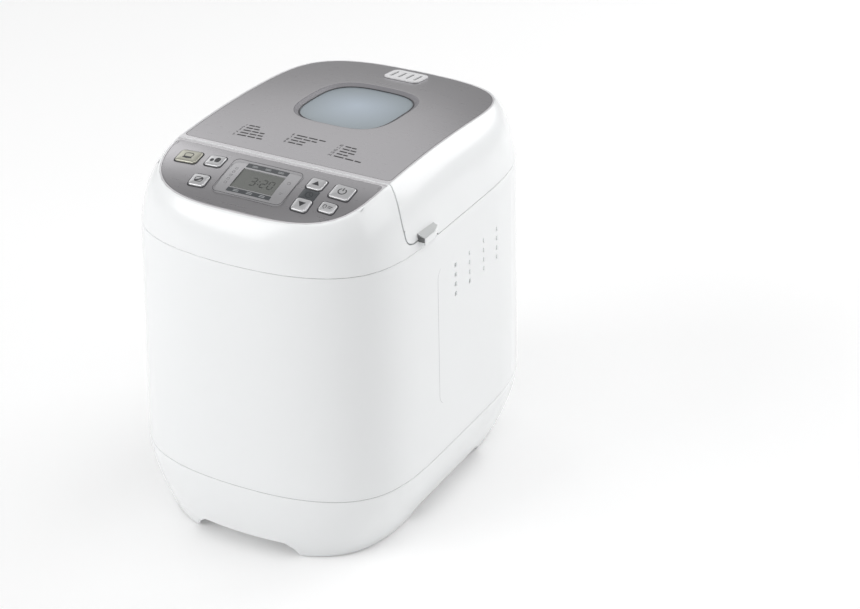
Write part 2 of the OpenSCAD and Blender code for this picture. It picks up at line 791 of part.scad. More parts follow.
module pan_collar() color("silver") {
    translate([0, oven_y, 0]) difference() {
        disc(collar_r, chamber_z + fit, pan_z);
        disc(collar_r - 3, chamber_z - 1, pan_z - 2);
        disc(bush_r, chamber_z - 1, pan_z + 5);
    }
}

module pan_handle() color("silver") {
    bend = 10;
    translate([0, oven_y, pivot_z]) rotate([-handle_rise, 0, 0]) {
        for (s = [-1, 1]) {
            translate([s > 0 ? pan_wall_w / 2 + 0.2 : -pivot_x, 0, 0]) rotate([0, 90, 0])
                cylinder(r = handle_r, h = pivot_x - pan_wall_w / 2 - 0.2, $fn = 48);
            translate([s * pivot_x, 0, 0]) sphere(r = handle_r, $fn = 48);
            translate([s * pivot_x, bend - handle_reach, 0]) rotate([-90, 0, 0])
                cylinder(r = handle_r, h = handle_reach - bend, $fn = 48);
            translate([s * (pivot_x - bend), bend - handle_reach, 0])
                rotate([0, 0, s > 0 ? -90 : 180])
                rotate_extrude(angle = 90, $fn = 64) translate([bend, 0]) circle(r = handle_r, $fn = 48);
        }
        translate([bend - pivot_x, -handle_reach, 0]) rotate([0, 90, 0])
            cylinder(r = handle_r, h = 2 * (pivot_x - bend), $fn = 48);
    }
}

module pan_bush() color("goldenrod") {
    translate([0, oven_y, 0]) difference() {
        union() {
            disc(bush_r, pan_z - 3, pan_z + pan_t + 3);
            disc(bush_r + 3, pan_z + pan_t, pan_z + pan_t + 1.4);
        }
        disc(shaft_d / 2 + shaft_fit, pan_z - 10, pan_z + 20);
    }
}

shaft_low = chamber_z + 4.4;
shaft_top = pan_z + 26;
flat_in = 1;                       // flat on the shaft's upper end
module paddle_shaft() color("silver") {
    r = shaft_d / 2;
    seat = pan_z + pan_t + 3.4;
    translate([0, oven_y, 0]) {
        difference() {
            rotate_extrude($fn = 96) polygon([[0, shaft_low + 1], [r + 1.5, shaft_low + 1],
                [r + 1.5, pan_z - 3.4], [r, pan_z - 3.4], [r, seat], [r + 1.5, seat],
                [r + 1.5, seat + 0.8], [r, seat + 0.8], [r, shaft_top - 1], [r - 1, shaft_top],
                [0, shaft_top]]);
            box(r - flat_in, r + 5, -r - 5, r + 5, seat + 0.7, shaft_top + 1);
        }
        box(-2, 2, -11, 11, shaft_low - 0.4, shaft_low + 4);
    }
}

hub_low = pan_z + pan_t + 4.4;
hub_r = shaft_d / 2 + 4.5;
module kneading_paddle() color("dimgray") {
    bore = shaft_d / 2 + 0.15;
    translate([0, oven_y, 0]) difference() {
        union() {
            disc(hub_r, hub_low, shaft_top + 2);
            translate([0, 0, hub_low]) linear_extrude(17)
                polygon([[-hub_r + 2, -4], [-20, -6.5], [-36, -3.5], [-39, 0], [-37, 2.2], [-22, 0.5],
                         [-hub_r + 2, 5]]);
            translate([0, 0, hub_low]) linear_extrude(9)
                polygon([[hub_r - 2, -4], [15, -2.5], [16.5, 0], [15, 2.5], [hub_r - 2, 4]]);
        }
        difference() {
            disc(bore, hub_low - 1, shaft_top + 0.4);
            box(bore - flat_in, bore + 5, -hub_r, hub_r, hub_low - 2, shaft_top + 3);
        }
    }
}

// ---- drive ----

module chassis_plate() color("silver") {
    y0 = motor_y - motor_d / 2 + 6;
    y1 = post_y1 + 10;
    difference() {
        translate([0, (y0 + y1) / 2, 0]) tile(2 * post_x + 20, y1 - y0, 8, chassis_z, chassis_z + chassis_t);
        each_post() disc(2, chassis_z - 1, chassis_z + 5);
        translate([0, oven_y, 0]) disc(9, chassis_z - 1, chassis_z + 5);
        translate([0, motor_y, 0]) disc(9, chassis_z - 1, chassis_z + 5);
        translate([0, (motor_y + oven_y) / 2, 0]) tile(40, 30, 8, chassis_z - 1, chassis_z + 5);
    }
}

spindle_r = shaft_d / 2;
module shaft_bearing() color("dimgray") {
    top = chamber_z - chamber_t - 4;
    translate([0, oven_y, 0]) difference() {
        union() {
            disc(13, chassis_z + chassis_t, top);
            disc(22, chassis_z + chassis_t, chassis_z + chassis_t + 3);
            for (a = [0 : 60 : 300]) rotate(a)
                box(10, 21, -1.2, 1.2, chassis_z + chassis_t + 2, chassis_z + chassis_t + 14);
            disc(8.6, chassis_z - 1, chassis_z + 3);
        }
        disc(spindle_r + shaft_fit, chassis_z - 5, top + 5);
        for (a = [30 : 120 : 270]) rotate(a) translate([18, 0, 0]) disc(1.6, chassis_z, chassis_z + 10);
    }
}

module drive_spindle() color("silver") {
    low = pulley_z - 3;
    translate([0, oven_y, 0]) {
        disc(spindle_r, low, chamber_z + 2);
        disc(9, chamber_z + 0.6, chamber_z + 3.4);
        for (a = [0, 180]) rotate(a)
            box(2.6, 7.4, 5.2, 10.6, chamber_z + 3.2, chamber_z + 10);
        disc(11.4, chamber_z + 1.8, chamber_z + 3.4);
    }
}

tooth_pitch = PI * pinion_d / pinion_teeth;
pulley_teeth = round(PI * pulley_d / tooth_pitch);
tooth_h = 1.2;
rib_t = 2.4;
module toothed(r, teeth, z0, z1) {
    difference() {
        disc(r, z0, z1);
        for (i = [0 : teeth - 1]) rotate(360 * i / teeth) translate([r, 0, z0 - 1])
            cylinder(r = tooth_h, h = z1 - z0 + 2, $fn = 6);
    }
}

module large_pulley() color("whitesmoke") {
    z1 = pulley_z + belt_w + 1;
    r = pulley_d / 2;
    translate([0, oven_y, 0]) difference() {
        union() {
            difference() {
                toothed(r, pulley_teeth, pulley_z, z1);
                disc(r - 5, pulley_z + rib_t + 1, z1 + 1);
            }
            disc(r + 2, pulley_z - 1, pulley_z + 0.2);
            disc(10, pulley_z - 1, z1);
            for (a = [0 : 60 : 300]) rotate(a)
                box(8, r - 4, -1.2, 1.2, pulley_z + rib_t, z1 - 1.5);
        }
        disc(spindle_r, pulley_z - 5, z1 + 5);
        for (a = [30 : 60 : 330]) rotate(a) translate([(r + 5) / 2, 0, 0])
            disc(7, pulley_z - 5, z1);
    }
}

module motor_pulley() color("silver") {
    z1 = pulley_z + belt_w + 1;
    translate([0, motor_y, 0]) {
        toothed(pinion_d / 2, pinion_teeth, pulley_z, z1);
        disc(pinion_d / 2 + 2, pulley_z - 1, pulley_z + 0.2);
        disc(2.5, pulley_z - 3, chassis_z + chassis_t + 6 + motor_h);
    }
}

// Flat belt loop over both pulleys: arcs joined by the outer tangents
module belt_outline(t) {
    r1 = pulley_d / 2 + 0.35 + t;
    r2 = pinion_d / 2 + 0.35 + t;
    a = acos((r1 - r2) / motor_reach);
    polygon(concat(
        [for (i = [0 : 32]) let (q = -90 + a + i * (360 - 2 * a) / 32) r1 * [cos(q), sin(q)]],
        [for (i = [0 : 12]) let (q = -90 - a + i * 2 * a / 12) [0, -motor_reach] + r2 * [cos(q), sin(q)]]));
}
module drive_belt() color("black") {
    translate([0, oven_y, pulley_z + 0.6]) linear_extrude(belt_w) difference() {
        belt_outline(1.6);
        belt_outline(0);
    }
}

module motor() color("gray") {
    z0 = chassis_z + chassis_t;
    r = motor_d / 2;
    translate([0, motor_y, 0]) difference() {
        union() {
            intersection() {
                tile(motor_d, motor_d, 8, z0 + 16, z0 + 40);
                disc(r + 3, z0, z0 + motor_h);
            }
            disc(r - 6, z0 + 6, z0 + motor_h - 4);
            tile(motor_d - 2, 22, 5, z0 + 3, z0 + 8);
            tile(motor_d - 2, 22, 5, z0 + motor_h - 8, z0 + motor_h - 3);
            disc(7, z0 + 1, z0 + motor_h);
            for (x = [-1, 1], y = [-1, 1]) translate([x * (r - 7), y * 7, 0])
                disc(2.4, z0, z0 + motor_h - 2);
        }
        disc(2.5 + shaft_fit, z0 - 1, z0 + motor_h + 1);
    }
}

cap_r = 14;
cap_h = 42;
module capacitor() color("whitesmoke") {
    z0 = floor_z + floor_t;
    translate([-motor_d / 2 - cap_r - 21, motor_y + 8, 0]) {
        disc(cap_r, z0, z0 + cap_h);
        for (x = [-5, 5]) translate([x, 0, 0])
            box(-2.4, 2.4, -0.4, 0.4, z0 + cap_h - 1, z0 + cap_h + 8);
        difference() {
            disc(cap_r + 1.4, z0 + 12, z0 + 22);
            disc(cap_r, z0 + 10, z0 + 24);
        }
    }
}

power_w = 66;
power_h = 62;
power_gap = 12;                    // from the board to the front wall of the chamber
module power_board() color("darkgreen") {
    z0 = chassis_z + chassis_t + motor_h + 16;
    z1 = z0 + power_h;
    w = power_w / 2;
    translate([0, oven_y - chamber_l / 2 - power_gap, 0]) {
        box(-w, w, -1.6, 0, z0, z1);
        box(-w + 6, -w + 32, -16, -1.6, z0 + 8, z0 + 30);
        box(w - 24, w - 6, -14, -1.6, z0 + 12, z0 + 28);
        for (x = [-20, -6, 8]) translate([x, -1.6, z1 - 16]) rotate([90, 0, 0])
            cylinder(r = 4, h = 9, $fn = 48);
        for (x = [-w + 4, w - 4], z = [z0 + 4, z1 - 4]) translate([x, 0, z]) rotate([-90, 0, 0])
            cylinder(r = 2.4, h = power_gap - chamber_t, $fn = 48);
    }
}

// ---- hinge ----

module hinge_brackets() color("silver") {
    hinge_axis() for (s = [-1, 1]) translate([s * ear_x, 0, 0]) difference() {
        union() {
            bar(ear_r, -ear_t / 2, ear_t / 2);
            box(-ear_t / 2, ear_t / 2, -4, 4, -roll_r - roll_gap - ear_foot, 0);
            box(-ear_t / 2 - 2, ear_t / 2 + 2, -6, 6,
                -roll_r - roll_gap - ear_foot, -roll_r - roll_gap);
        }
        bar(hinge_pin_d / 2, -ear_t, ear_t);
    }
}

pin_half = ear_t / 2 + arm_gap + arm_t + 0.8;
module hinge_pins() color("silver") {
    hinge_axis() for (s = [-1, 1]) translate([s * ear_x, 0, 0])
        bar(hinge_pin_d / 2, -pin_half, pin_half);
}

module lid_hinge_arms() color("silver") {
    x0 = ear_t / 2 + arm_gap;
    reach = 22;
    hinge_axis() for (s = [-1, 1]) translate([s * ear_x, 0, 0]) difference() {
        union() {
            for (q = [-1, 1]) {
                a = q > 0 ? x0 : -x0 - arm_t;
                bar(arm_r, a, a + arm_t);
                box(a, a + arm_t, -reach, 0, 0, arm_top - hinge_z);
                rotate([0, 90, 0]) translate([0, 0, a]) linear_extrude(arm_t)
                    polygon([[0, -reach], [0, 0], [arm_r, 0], [arm_r * 0.6, -reach * 0.5]]);
            }
            box(-x0 - arm_t, x0 + arm_t, -reach, -6.8, arm_top - hinge_z - 3, arm_top - hinge_z);
        }
        bar(hinge_pin_d / 2 + hinge_fit, -x0 - 2 * arm_t, x0 + 2 * arm_t);
    }
}

// ---- lid ----

function win_ring(off, depth) =
    [for (i = [0 : 47])
        let (a = 360 * i / 48,
             x = (window_w / 2 + off) * spow(cos(a), 0.62),
             y = window_y + (window_l / 2 + off) * spow(sin(a), 0.62))
        [x, y, lid_z(x, y) - depth]];
function win_cap(k, off, depth) =
    [for (p = win_ring(off, 0))
        let (x = p[0] * k, y = window_y + (p[1] - window_y) * k)
        [x, y, lid_z(x, y) - depth]];

glass_in = 3.6;                    // how deep the window glass lies
glass_dome = 2;

screw_head = 3;
boss_x = chamber_w / 2 + seal_out + screw_head + 0.2;
boss_list = [for (x = [-boss_x, boss_x], y = [panel_gap_y + 19.3, oven_y + 30]) [x, y]];
arm_boss_y = hinge_y - 15;

module finger_tab() {
    y0 = panel_gap_y + 11.3;
    inner = half_w - body_draft - 0.6;
    intersection() {
        union() {
            translate([0, 0, strip_z + gap_half]) linear_extrude(2)
                polygon([[inner - 5, y0], [half_w - 0.6, y0], [half_w, y0 + 1], [half_w, y0 + 14],
                         [inner + 1, y0 + 24], [inner - 5, y0 + 24]]);
            translate([0, 0, strip_z - 2.6]) linear_extrude(4)
                polygon([[half_w - 1.8, y0], [half_w - 0.6, y0], [half_w, y0 + 1], [half_w, y0 + 14],
                         [inner + 1.6, y0 + 23.4], [inner + 0.6, y0 + 22], [half_w - 1.8, y0 + 13]]);
        }
        box(0, body_w, y0, y0 + 25, strip_z - 3, strip_z + 3);
    }
}

module lid_shell() color("white") {
    difference() {
        union() {
            intersection() {
                upper_form(0, 0, skirt_z, false);
                union() {
                    difference() {
                        lid_region();
                        intersection() {
                            inner_form(wall, plate_t + wall, skirt_z - 1, false);
                            gap_slab(gap_half + wall, 2 * body_d, upper_seam - 5, crown_z);
                        }
                        intersection() {
                            inner_form(nose_t, plate_t + wall, skirt_z - 1, false);
                            gap_slab(-20, gap_half, upper_seam - 5, crown_z + 5);
                        }
                        difference() {
                            bridge_space(roll_gap, upper_seam - 5);
                            hinge_axis() bar(roll_r, -body_w, body_w);
                        }
                    }
                    // rolled rear edge round the hinge axis
                    hinge_axis() difference() {
                        bar(roll_r, -bridge_half, bridge_half);
                        bar(roll_r - wall, -body_w, body_w);
                        box(-body_w, body_w, -50, 50, 0, 50);
                        box(-body_w, body_w, -50, 0, -50, 50);
                    }
                    for (b = boss_list) translate([b[0], b[1], 0]) disc(4.5, liner_z + liner_t, crown_z);
                    for (s = [-1, 1])
                        box(s * ear_x - 11, s * ear_x + 11, arm_boss_y - 8, arm_boss_y + 8, arm_top, crown_z);
                }
            }
            finger_tab();
            mirror([1, 0, 0]) finger_tab();
        }
        intersection() {
            above_top(lip, plate_t, false);
            gap_slab(gap_half + gap_lip, 2 * body_d, upper_seam, crown_z + 15);
        }
        loft([win_ring(2, 20), win_ring(2, glass_in + 1.6), win_ring(window_bevel + 1.6, plate_t / 2),
              win_ring(window_bevel + 1.6, -5)]);
        on_lid(0, grille_y) tile(vent_w - 4, vent_l - 4, 3, -20, 5);
        // slots that clear the fixed hinge ears
        hinge_axis() for (s = [-1, 1]) translate([s * ear_x, 0, 0]) {
            box(-ear_t / 2 - arm_gap, ear_t / 2 + arm_gap, -ear_r - 1, 40, -30, 2.4);
            bar(ear_r + 0.8, -ear_t / 2 - arm_gap, ear_t / 2 + arm_gap);
        }
        for (b = boss_list) translate([b[0], b[1], 0]) disc(1.3, liner_z, liner_z + 16);
    }
}

module lid_plate() color("silver") {
    difference() {
        union() {
            intersection() {
                difference() {
                    above_top(lip + 0.1, plate_t - 0.05, false);
                    above_top(-5, 0, false);
                }
                gap_slab(gap_half + gap_lip + 0.2, 2 * body_d, upper_seam, crown_z + 10);
            }
            loft([win_ring(1.6, glass_in + 1.4), win_ring(window_bevel + 1.2, plate_t / 2)]);
        }
        loft([win_ring(0, glass_in + 3), win_ring(0, glass_in), win_ring(window_bevel, 0),
              win_ring(window_bevel, -5)]);
        on_lid(0, grille_y) tile(vent_w - 4, vent_l - 4, 3, -20, 5);
    }
}

module window_glass() color("lightblue", 0.6) {
    d = glass_in + 1.5;
    loft([win_ring(1.4, d + 2.2), win_ring(1.4, d), win_ring(-0.3, d), win_ring(-0.3, d - 1.2),
          for (k = [0.8, 0.45, 0.02]) win_cap(k, -0.3, d - 1.2 - glass_dome * (1 - k * k))]);
}

module vent_grille() color("white") {
    on_lid(0, grille_y) difference() {
        union() {
            tile(vent_w, vent_l, 5, 0.05, 1.1);
            tile(vent_w - 4.4, vent_l - 4.4, 2.8, -6, 0.2);
        }
        tile(vent_w - 7.4, vent_l - 7.4, 1.6, -7, -1);
        for (x = [-10.2 : 6.8 : 10.3]) translate([x, 0, 0]) tile(2, vent_l - 9, 0.9, -9, 5);
    }
}

module liner_outline() {
    intersection() {
        polygon(shoulder_plan(lean(0.12), wall + 1));
        translate([-body_w, panel_gap_y + gap_half + wall + 1 + 4.2])
            square([2 * body_w, hinge_y - 9 - (panel_gap_y + gap_half + wall + 1 + 4.2)]);
    }
}
liner_l = 104;
liner_w = 112;
liner_up = 9;
module lid_liner() color("silver") {
    difference() {
        union() {
            translate([0, 0, liner_z]) linear_extrude(liner_t) liner_outline();
            tile_at_oven(liner_w, liner_l, 16, liner_z, liner_z + liner_up);
        }
        tile_at_oven(liner_w - 2 * liner_t, liner_l - 2 * liner_t, 16 - liner_t, liner_z - 1,
                     liner_z + liner_up - liner_t);
        tile_at_oven(liner_w - 18, liner_l - 18, 9, liner_z - 1, liner_z + liner_up + 1);
        for (b = boss_list) translate([b[0], b[1], 0]) disc(1.6, liner_z - 1, liner_z + 5);
        for (x = [-12 : 6 : 12]) translate([x, oven_y + 68, 0]) tile(2.4, 12, 1.1, liner_z - 1, liner_z + 5);
    }
}

module inner_glass() color("lightblue", 0.5) {
    tile_at_oven(liner_w - 6, liner_l - 6, 12, liner_z + liner_up, liner_z + liner_up + 4);
}

module lid_seal() color("dimgray") {
    w = chamber_w + 2 * seal_out;
    l = chamber_l + 2 * seal_out;
    difference() {
        tile_at_oven(w, l, 24, deck_z + flange_t + 0.5, liner_z);
        tile_at_oven(w - 2 * seal_w, l - 2 * seal_w, 24 - seal_w, deck_z, liner_z + 1);
    }
}

module lid_screws() color("silver") {
    for (b = boss_list) translate([b[0], b[1], 0]) {
        disc(screw_head, liner_z - 1.4, liner_z);
        disc(1.3, liner_z - 0.2, liner_z + 14);
    }
}

base_tray();
rubber_feet();
base_screws();
body_shell();
cord_inlet();
top_frame();
fascia_panel();
lcd_lens();
lcd_module();
control_board();
button_menu();
button_size();
button_crust();
button_up();
button_down();
button_power();
button_light();
oven_chamber();
heating_element();
heater_clips();
temp_sensor();
pan_seat();
bread_pan();
pan_ears();
pan_collar();
pan_handle();
pan_bush();
paddle_shaft();
kneading_paddle();
chassis_plate();
shaft_bearing();
drive_spindle();
large_pulley();
motor_pulley();
drive_belt();
motor();
capacitor();
power_board();
hinge_brackets();
hinge_pins();
lid_hinge_arms();
lid_shell();
lid_plate();
window_glass();
vent_grille();
lid_liner();
inner_glass();
lid_seal();
lid_screws();
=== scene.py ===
import bpy
import bmesh
import numpy as np
from mathutils import Matrix


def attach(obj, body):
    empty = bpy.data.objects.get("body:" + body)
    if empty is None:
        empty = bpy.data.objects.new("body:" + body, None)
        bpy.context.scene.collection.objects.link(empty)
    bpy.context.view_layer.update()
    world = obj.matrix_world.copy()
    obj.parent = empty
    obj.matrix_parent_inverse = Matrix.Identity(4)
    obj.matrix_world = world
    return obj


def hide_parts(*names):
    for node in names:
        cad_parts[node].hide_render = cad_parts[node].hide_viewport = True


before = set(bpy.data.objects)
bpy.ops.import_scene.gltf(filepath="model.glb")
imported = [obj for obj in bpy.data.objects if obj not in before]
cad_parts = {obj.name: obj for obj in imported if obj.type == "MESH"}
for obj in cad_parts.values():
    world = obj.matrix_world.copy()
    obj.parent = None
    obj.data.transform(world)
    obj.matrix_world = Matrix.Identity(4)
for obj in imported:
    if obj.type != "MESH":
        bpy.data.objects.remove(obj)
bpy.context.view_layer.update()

# ---- Camera ----
# A long lens, a little above the lid and to the right of the front.
turn, tip = np.radians(28.1528), np.radians(28.2544)
aside, above, away = 0.0711, 0.12, 1.9005
look = np.array([-np.sin(turn) * np.cos(tip), np.cos(turn) * np.cos(tip), -np.sin(tip)])
right = np.array([np.cos(turn), np.sin(turn), 0.0])
up = np.cross(right, look)
camera = bpy.data.objects.new("camera", bpy.data.cameras.new("camera"))
camera.data.lens = 99.79
camera.data.sensor_width = 36
place = aside * right + above * up - away * look
facing = Matrix(np.stack([right, up, -look], axis=1).tolist()).to_4x4()
camera.matrix_world = Matrix.Translation(place) @ facing
scene = bpy.context.scene
scene.collection.objects.link(camera)
scene.camera = camera
scene.view_settings.view_transform = "Standard"

# ---- Studio ----
# A white sweep 12 m across under soft lamps all round; the two weak ones behind and left are for the
# metal. Where the sweep is seen, directly or in gloss or glass, it is a little brighter than its paper.


def wire(tree, source, target):
    """Joins an output socket to an input socket."""
    tree.links.new(source, target)


def seen_directly(tree):
    """1 where a camera, glossy or transmission ray meets the surface, and 0 for the soft light."""
    path = tree.nodes.new("ShaderNodeLightPath")
    first = tree.nodes.new("ShaderNodeMath")
    second = tree.nodes.new("ShaderNodeMath")
    first.operation = second.operation = "MAXIMUM"
    wire(tree, path.outputs["Is Camera Ray"], first.inputs[0])
    wire(tree, path.outputs["Is Glossy Ray"], first.inputs[1])
    wire(tree, first.outputs[0], second.inputs[0])
    wire(tree, path.outputs["Is Transmission Ray"], second.inputs[1])
    return second.outputs[0]


world = bpy.data.worlds.new("studio")
scene.world = world
world.use_nodes = True
sky = world.node_tree.nodes["Background"]
sky.inputs["Color"].default_value = (1, 1, 1, 1)
sky.inputs["Strength"].default_value = 0.3

floor_mesh = bpy.data.meshes.new("floor")
floor_mesh.from_pydata([(-6, -6, 0), (6, -6, 0), (6, 6, 0), (-6, 6, 0)], [], [(0, 1, 2, 3)])
floor = bpy.data.objects.new("floor", floor_mesh)
scene.collection.objects.link(floor)
sweep = bpy.data.materials.new("white sweep")
sweep.use_nodes = True
tree = sweep.node_tree
paper = tree.nodes["Principled BSDF"]
paper.inputs["Base Color"].default_value = (0.96, 0.96, 0.96, 1)
paper.inputs["Roughness"].default_value = 0.9
glow = tree.nodes.new("ShaderNodeEmission")
share = tree.nodes.new("ShaderNodeMath")
share.operation = "MULTIPLY"
sweep_glow = 0.2
share.inputs[1].default_value = sweep_glow
blend = tree.nodes.new("ShaderNodeMixShader")
wire(tree, seen_directly(tree), share.inputs[0])
wire(tree, share.outputs[0], blend.inputs[0])
wire(tree, paper.outputs[0], blend.inputs[1])
wire(tree, glow.outputs[0], blend.inputs[2])
wire(tree, blend.outputs[0], tree.nodes["Material Output"].inputs["Surface"])
floor_mesh.materials.append(sweep)


middle = np.array([0, 0, 0.15])


def soft_lamp(name, place, width, watts):
    """A square area lamp at place, turned to face the middle of the machine."""
    lamp = bpy.data.lights.new(name, "AREA")
    lamp.size, lamp.energy = width, watts
    along = middle - place
    along /= np.linalg.norm(along)
    side = np.cross(along, (0, 0, 1))
    side /= np.linalg.norm(side)
    turned = np.stack([side, np.cross(side, along), -along], axis=1)
    obj = bpy.data.objects.new(name, lamp)
    obj.matrix_world = Matrix.Translation(place) @ Matrix(turned.tolist()).to_4x4()
    obj.visible_camera = False
    scene.collection.objects.link(obj)


soft_lamp("front left lamp", (-1.2, -1.6, 1.2), 1.5, 24)
soft_lamp("rear right lamp", (0.85, 1.8, 1.2), 1.5, 20)
soft_lamp("right lamp", (1.9, 0.5, 1.2), 1.5, 10)
soft_lamp("top lamp", (0.3, -0.4, 2.3), 1.9, 17)
soft_lamp("rear left lamp", (-1.08, 1.28, 1.42), 1.3, 2.6)
soft_lamp("left lamp", (-1.6, 0.9, 1.3), 0.9, 3)

# ---- Body shell ----
# One deep moulding of gloss white plastic, open above and below, with slots for warm air in its sides.
# It narrows a little towards the top, and its edges are rounded where they meet the seams.
mm = 0.001
half_w, front, rear, widest = 112.5, -152.75, 152.75, 15
low_seam, high_seam, wall = 57, 239.6, 2.6
taper_side, taper_front, taper_rear = 3.8, 2.1, 1.9


def power(v, e):
    """v to the power e, keeping the sign of v."""
    return np.sign(v) * np.abs(v) ** e


def outline(a, half, y_front, y_rear, n_front=2.24, m_front=6, n_rear=2.6, m_rear=3.8):
    """Point at turn a on a closed plan: |x / half| to the power n plus |(y - widest) / length| to the
    power m is 1, with one length and pair of powers ahead of the widest line and another behind it."""
    c, s = np.cos(a), np.sin(a)
    ahead = s < 0
    x = np.where(ahead, power(c, 2 / n_front), power(c, 2 / n_rear)) * half
    y_ahead = (widest - y_front) * power(s, 2 / m_front)
    y_behind = (y_rear - widest) * power(s, 2 / m_rear)
    return x, widest + np.where(ahead, y_ahead, y_behind)


# Even steps round the plan: e runs from -0.5 to 0.5 through the front centre (0), by length.
part_turn = np.pi / 2 * (1 - (1 - np.linspace(0, 1, 4001) ** 4) ** 2)
half_turn = np.concatenate([-part_turn[::-1], part_turn[1:]])
half_x, half_y = outline(half_turn, half_w, front, rear)
half_run = np.concatenate([[0], np.cumsum(np.hypot(np.diff(half_x), np.diff(half_y)))])
half_run *= 0.5 / half_run[-1]


def turn_of(e):
    """Turn on the plan at share e of its length from the front centre."""
    e = (np.asarray(e) + 0.5) % 1 - 0.5
    a = np.interp(np.abs(e), half_run, half_turn)
    return np.where(e < 0, np.pi - a, a)


def body_at(e, z, inset=0):
    """Body wall: the plan shrinks evenly from the lower seam to the upper one."""
    k = (z - low_seam) / (high_seam - low_seam)
    return outline(turn_of(e), half_w - taper_side * k - inset, front + taper_front * k + inset,
                   rear - taper_rear * k - inset)


def sheet(x, y, z, around=False, over=False, flip=False, keep=None, paint=0):
    """Grid of points in millimetres with its quads; around joins the last column to the first, over the
    last row to the first, keep drops the cells where it is false, and paint numbers their finishes."""
    x, y, z = np.broadcast_arrays(x, y, z)
    rows, cols = x.shape
    n = np.arange(rows * cols).reshape(rows, cols)
    if around:
        n = np.concatenate([n, n[:, :1]], axis=1)
    if over:
        n = np.concatenate([n, n[:1]], axis=0)
    quads = np.stack([n[:-1, :-1], n[:-1, 1:], n[1:, 1:], n[1:, :-1]], axis=-1)
    paint = np.broadcast_to(paint, quads.shape[:2])
    if keep is not None:
        quads, paint = quads[keep], paint[keep]
    quads = quads.reshape(-1, 4)
    return np.stack([x, y, z], axis=-1).reshape(-1, 3) * mm, quads[:, ::-1] if flip else quads, paint.ravel()


def piece(name, sheets, paints, body, thick=0.0, sharp=32):
    """One object from sheets whose touching edges are welded; thick gives an open sheet a wall behind
    it, in millimetres, and edges sharper than the angle stay crisp."""
    start = np.cumsum([0] + [len(s[0]) for s in sheets])
    points = np.concatenate([s[0] for s in sheets])
    quads = np.concatenate([s[1] + n for s, n in zip(sheets, start)]).astype(np.int32)
    mesh = bpy.data.meshes.new(name)
    mesh.vertices.add(len(points))
    mesh.vertices.foreach_set("co", points.astype(np.float32).ravel())
    mesh.loops.add(quads.size)
    mesh.loops.foreach_set("vertex_index", quads.ravel())
    mesh.polygons.add(len(quads))
    mesh.polygons.foreach_set("loop_start", np.arange(0, quads.size, 4, dtype=np.int32))
    for paint in paints:
        mesh.materials.append(paint)
    mesh.polygons.foreach_set("material_index", np.concatenate([s[2] for s in sheets]).astype(np.int32))
    mesh.update(calc_edges=True)
    form = bmesh.new()
    form.from_mesh(mesh)
    bmesh.ops.remove_doubles(form, verts=form.verts[:], dist=2e-6)
    bmesh.ops.dissolve_degenerate(form, edges=form.edges[:], dist=1e-7)
    if thick:
        bmesh.ops.solidify(form, geom=form.faces[:], thickness=thick * mm)
    form.to_mesh(mesh)
    form.free()
    mesh.polygons.foreach_set("use_smooth", np.ones(len(mesh.polygons), bool))
    mesh.set_sharp_from_angle(angle=np.radians(sharp))
    obj = bpy.data.objects.new(name, mesh)
    scene.collection.objects.link(obj)
    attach(obj, body)
    return obj


patch_scale, grain_depth, coat_roughness = 9, 0.0002, 0.08


def finish_of(name, colour, roughness, drift=0.02, coat=0.0, metal=0.0, bump=0.03, grain=900.0,
              stretch=(1, 1, 1)):
    """Surface whose colour drifts a little over the piece and whose fine grain, drawn out by stretch,
    breaks up the gloss: roughness runs from 1 - 2 drift to 1 + 2 drift times its value."""
    paint = bpy.data.materials.new(name)
    paint.use_nodes = True
    tree = paint.node_tree
    shader = tree.nodes["Principled BSDF"]
    place = tree.nodes.new("ShaderNodeTexCoord")
    turned = tree.nodes.new("ShaderNodeMapping")
    turned.inputs["Scale"].default_value = stretch
    broad = tree.nodes.new("ShaderNodeTexNoise")
    broad.inputs["Scale"].default_value = patch_scale
    fine = tree.nodes.new("ShaderNodeTexNoise")
    fine.inputs["Scale"].default_value = grain
    tint = tree.nodes.new("ShaderNodeMix")
    tint.data_type = "RGBA"
    tint.inputs[6].default_value = (*(c * (1 - drift) for c in colour), 1)
    tint.inputs[7].default_value = (*(min(1, c * (1 + drift)) for c in colour), 1)
    rough = tree.nodes.new("ShaderNodeMapRange")
    rough.inputs["To Min"].default_value = roughness * (1 - 2 * drift)
    rough.inputs["To Max"].default_value = roughness * (1 + 2 * drift)
    relief = tree.nodes.new("ShaderNodeBump")
    relief.inputs["Strength"].default_value = bump
    relief.inputs["Distance"].default_value = grain_depth
    wire(tree, place.outputs["Object"], turned.inputs["Vector"])
    wire(tree, place.outputs["Object"], broad.inputs["Vector"])
    wire(tree, turned.outputs[0], fine.inputs["Vector"])
    wire(tree, broad.outputs["Fac"], tint.inputs["Factor"])
    wire(tree, tint.outputs[2], shader.inputs["Base Color"])
    wire(tree, fine.outputs["Fac"], rough.inputs["Value"])
    wire(tree, rough.outputs[0], shader.inputs["Roughness"])
    wire(tree, fine.outputs["Fac"], relief.inputs["Height"])
    wire(tree, relief.outputs[0], shader.inputs["Normal"])
    shader.inputs["Metallic"].default_value = metal
    shader.inputs["Coat Weight"].default_value = coat
    shader.inputs["Coat Roughness"].default_value = coat_roughness
    return paint


def edge_steps(r, steps=4):
    """Inset and height of a quarter round of radius r, from the flat end face out to the wall."""
    q = np.linspace(0, np.pi / 2, steps)
    return r * (1 - np.sin(q)), r * (1 - np.cos(q))


def steps_between(start, end, n, extra=()):
    """n even values from start to end with the extra ones that lie inside them."""
    extra = np.ravel(extra)
    inner = extra[(extra > start) & (extra < end)]
    return np.unique(np.round(np.concatenate([np.linspace(start, end, n), inner]), 4))


gloss_white = finish_of("gloss white plastic", (0.86, 0.872, 0.878), 0.27, drift=0.0008, coat=0.3, bump=0,
                        grain=9)
# Dark for the sunk cells of the vent slots: painted shade.
slot_shade = finish_of("painted shade of the vent slots", (0.16, 0.165, 0.17), 0.6)
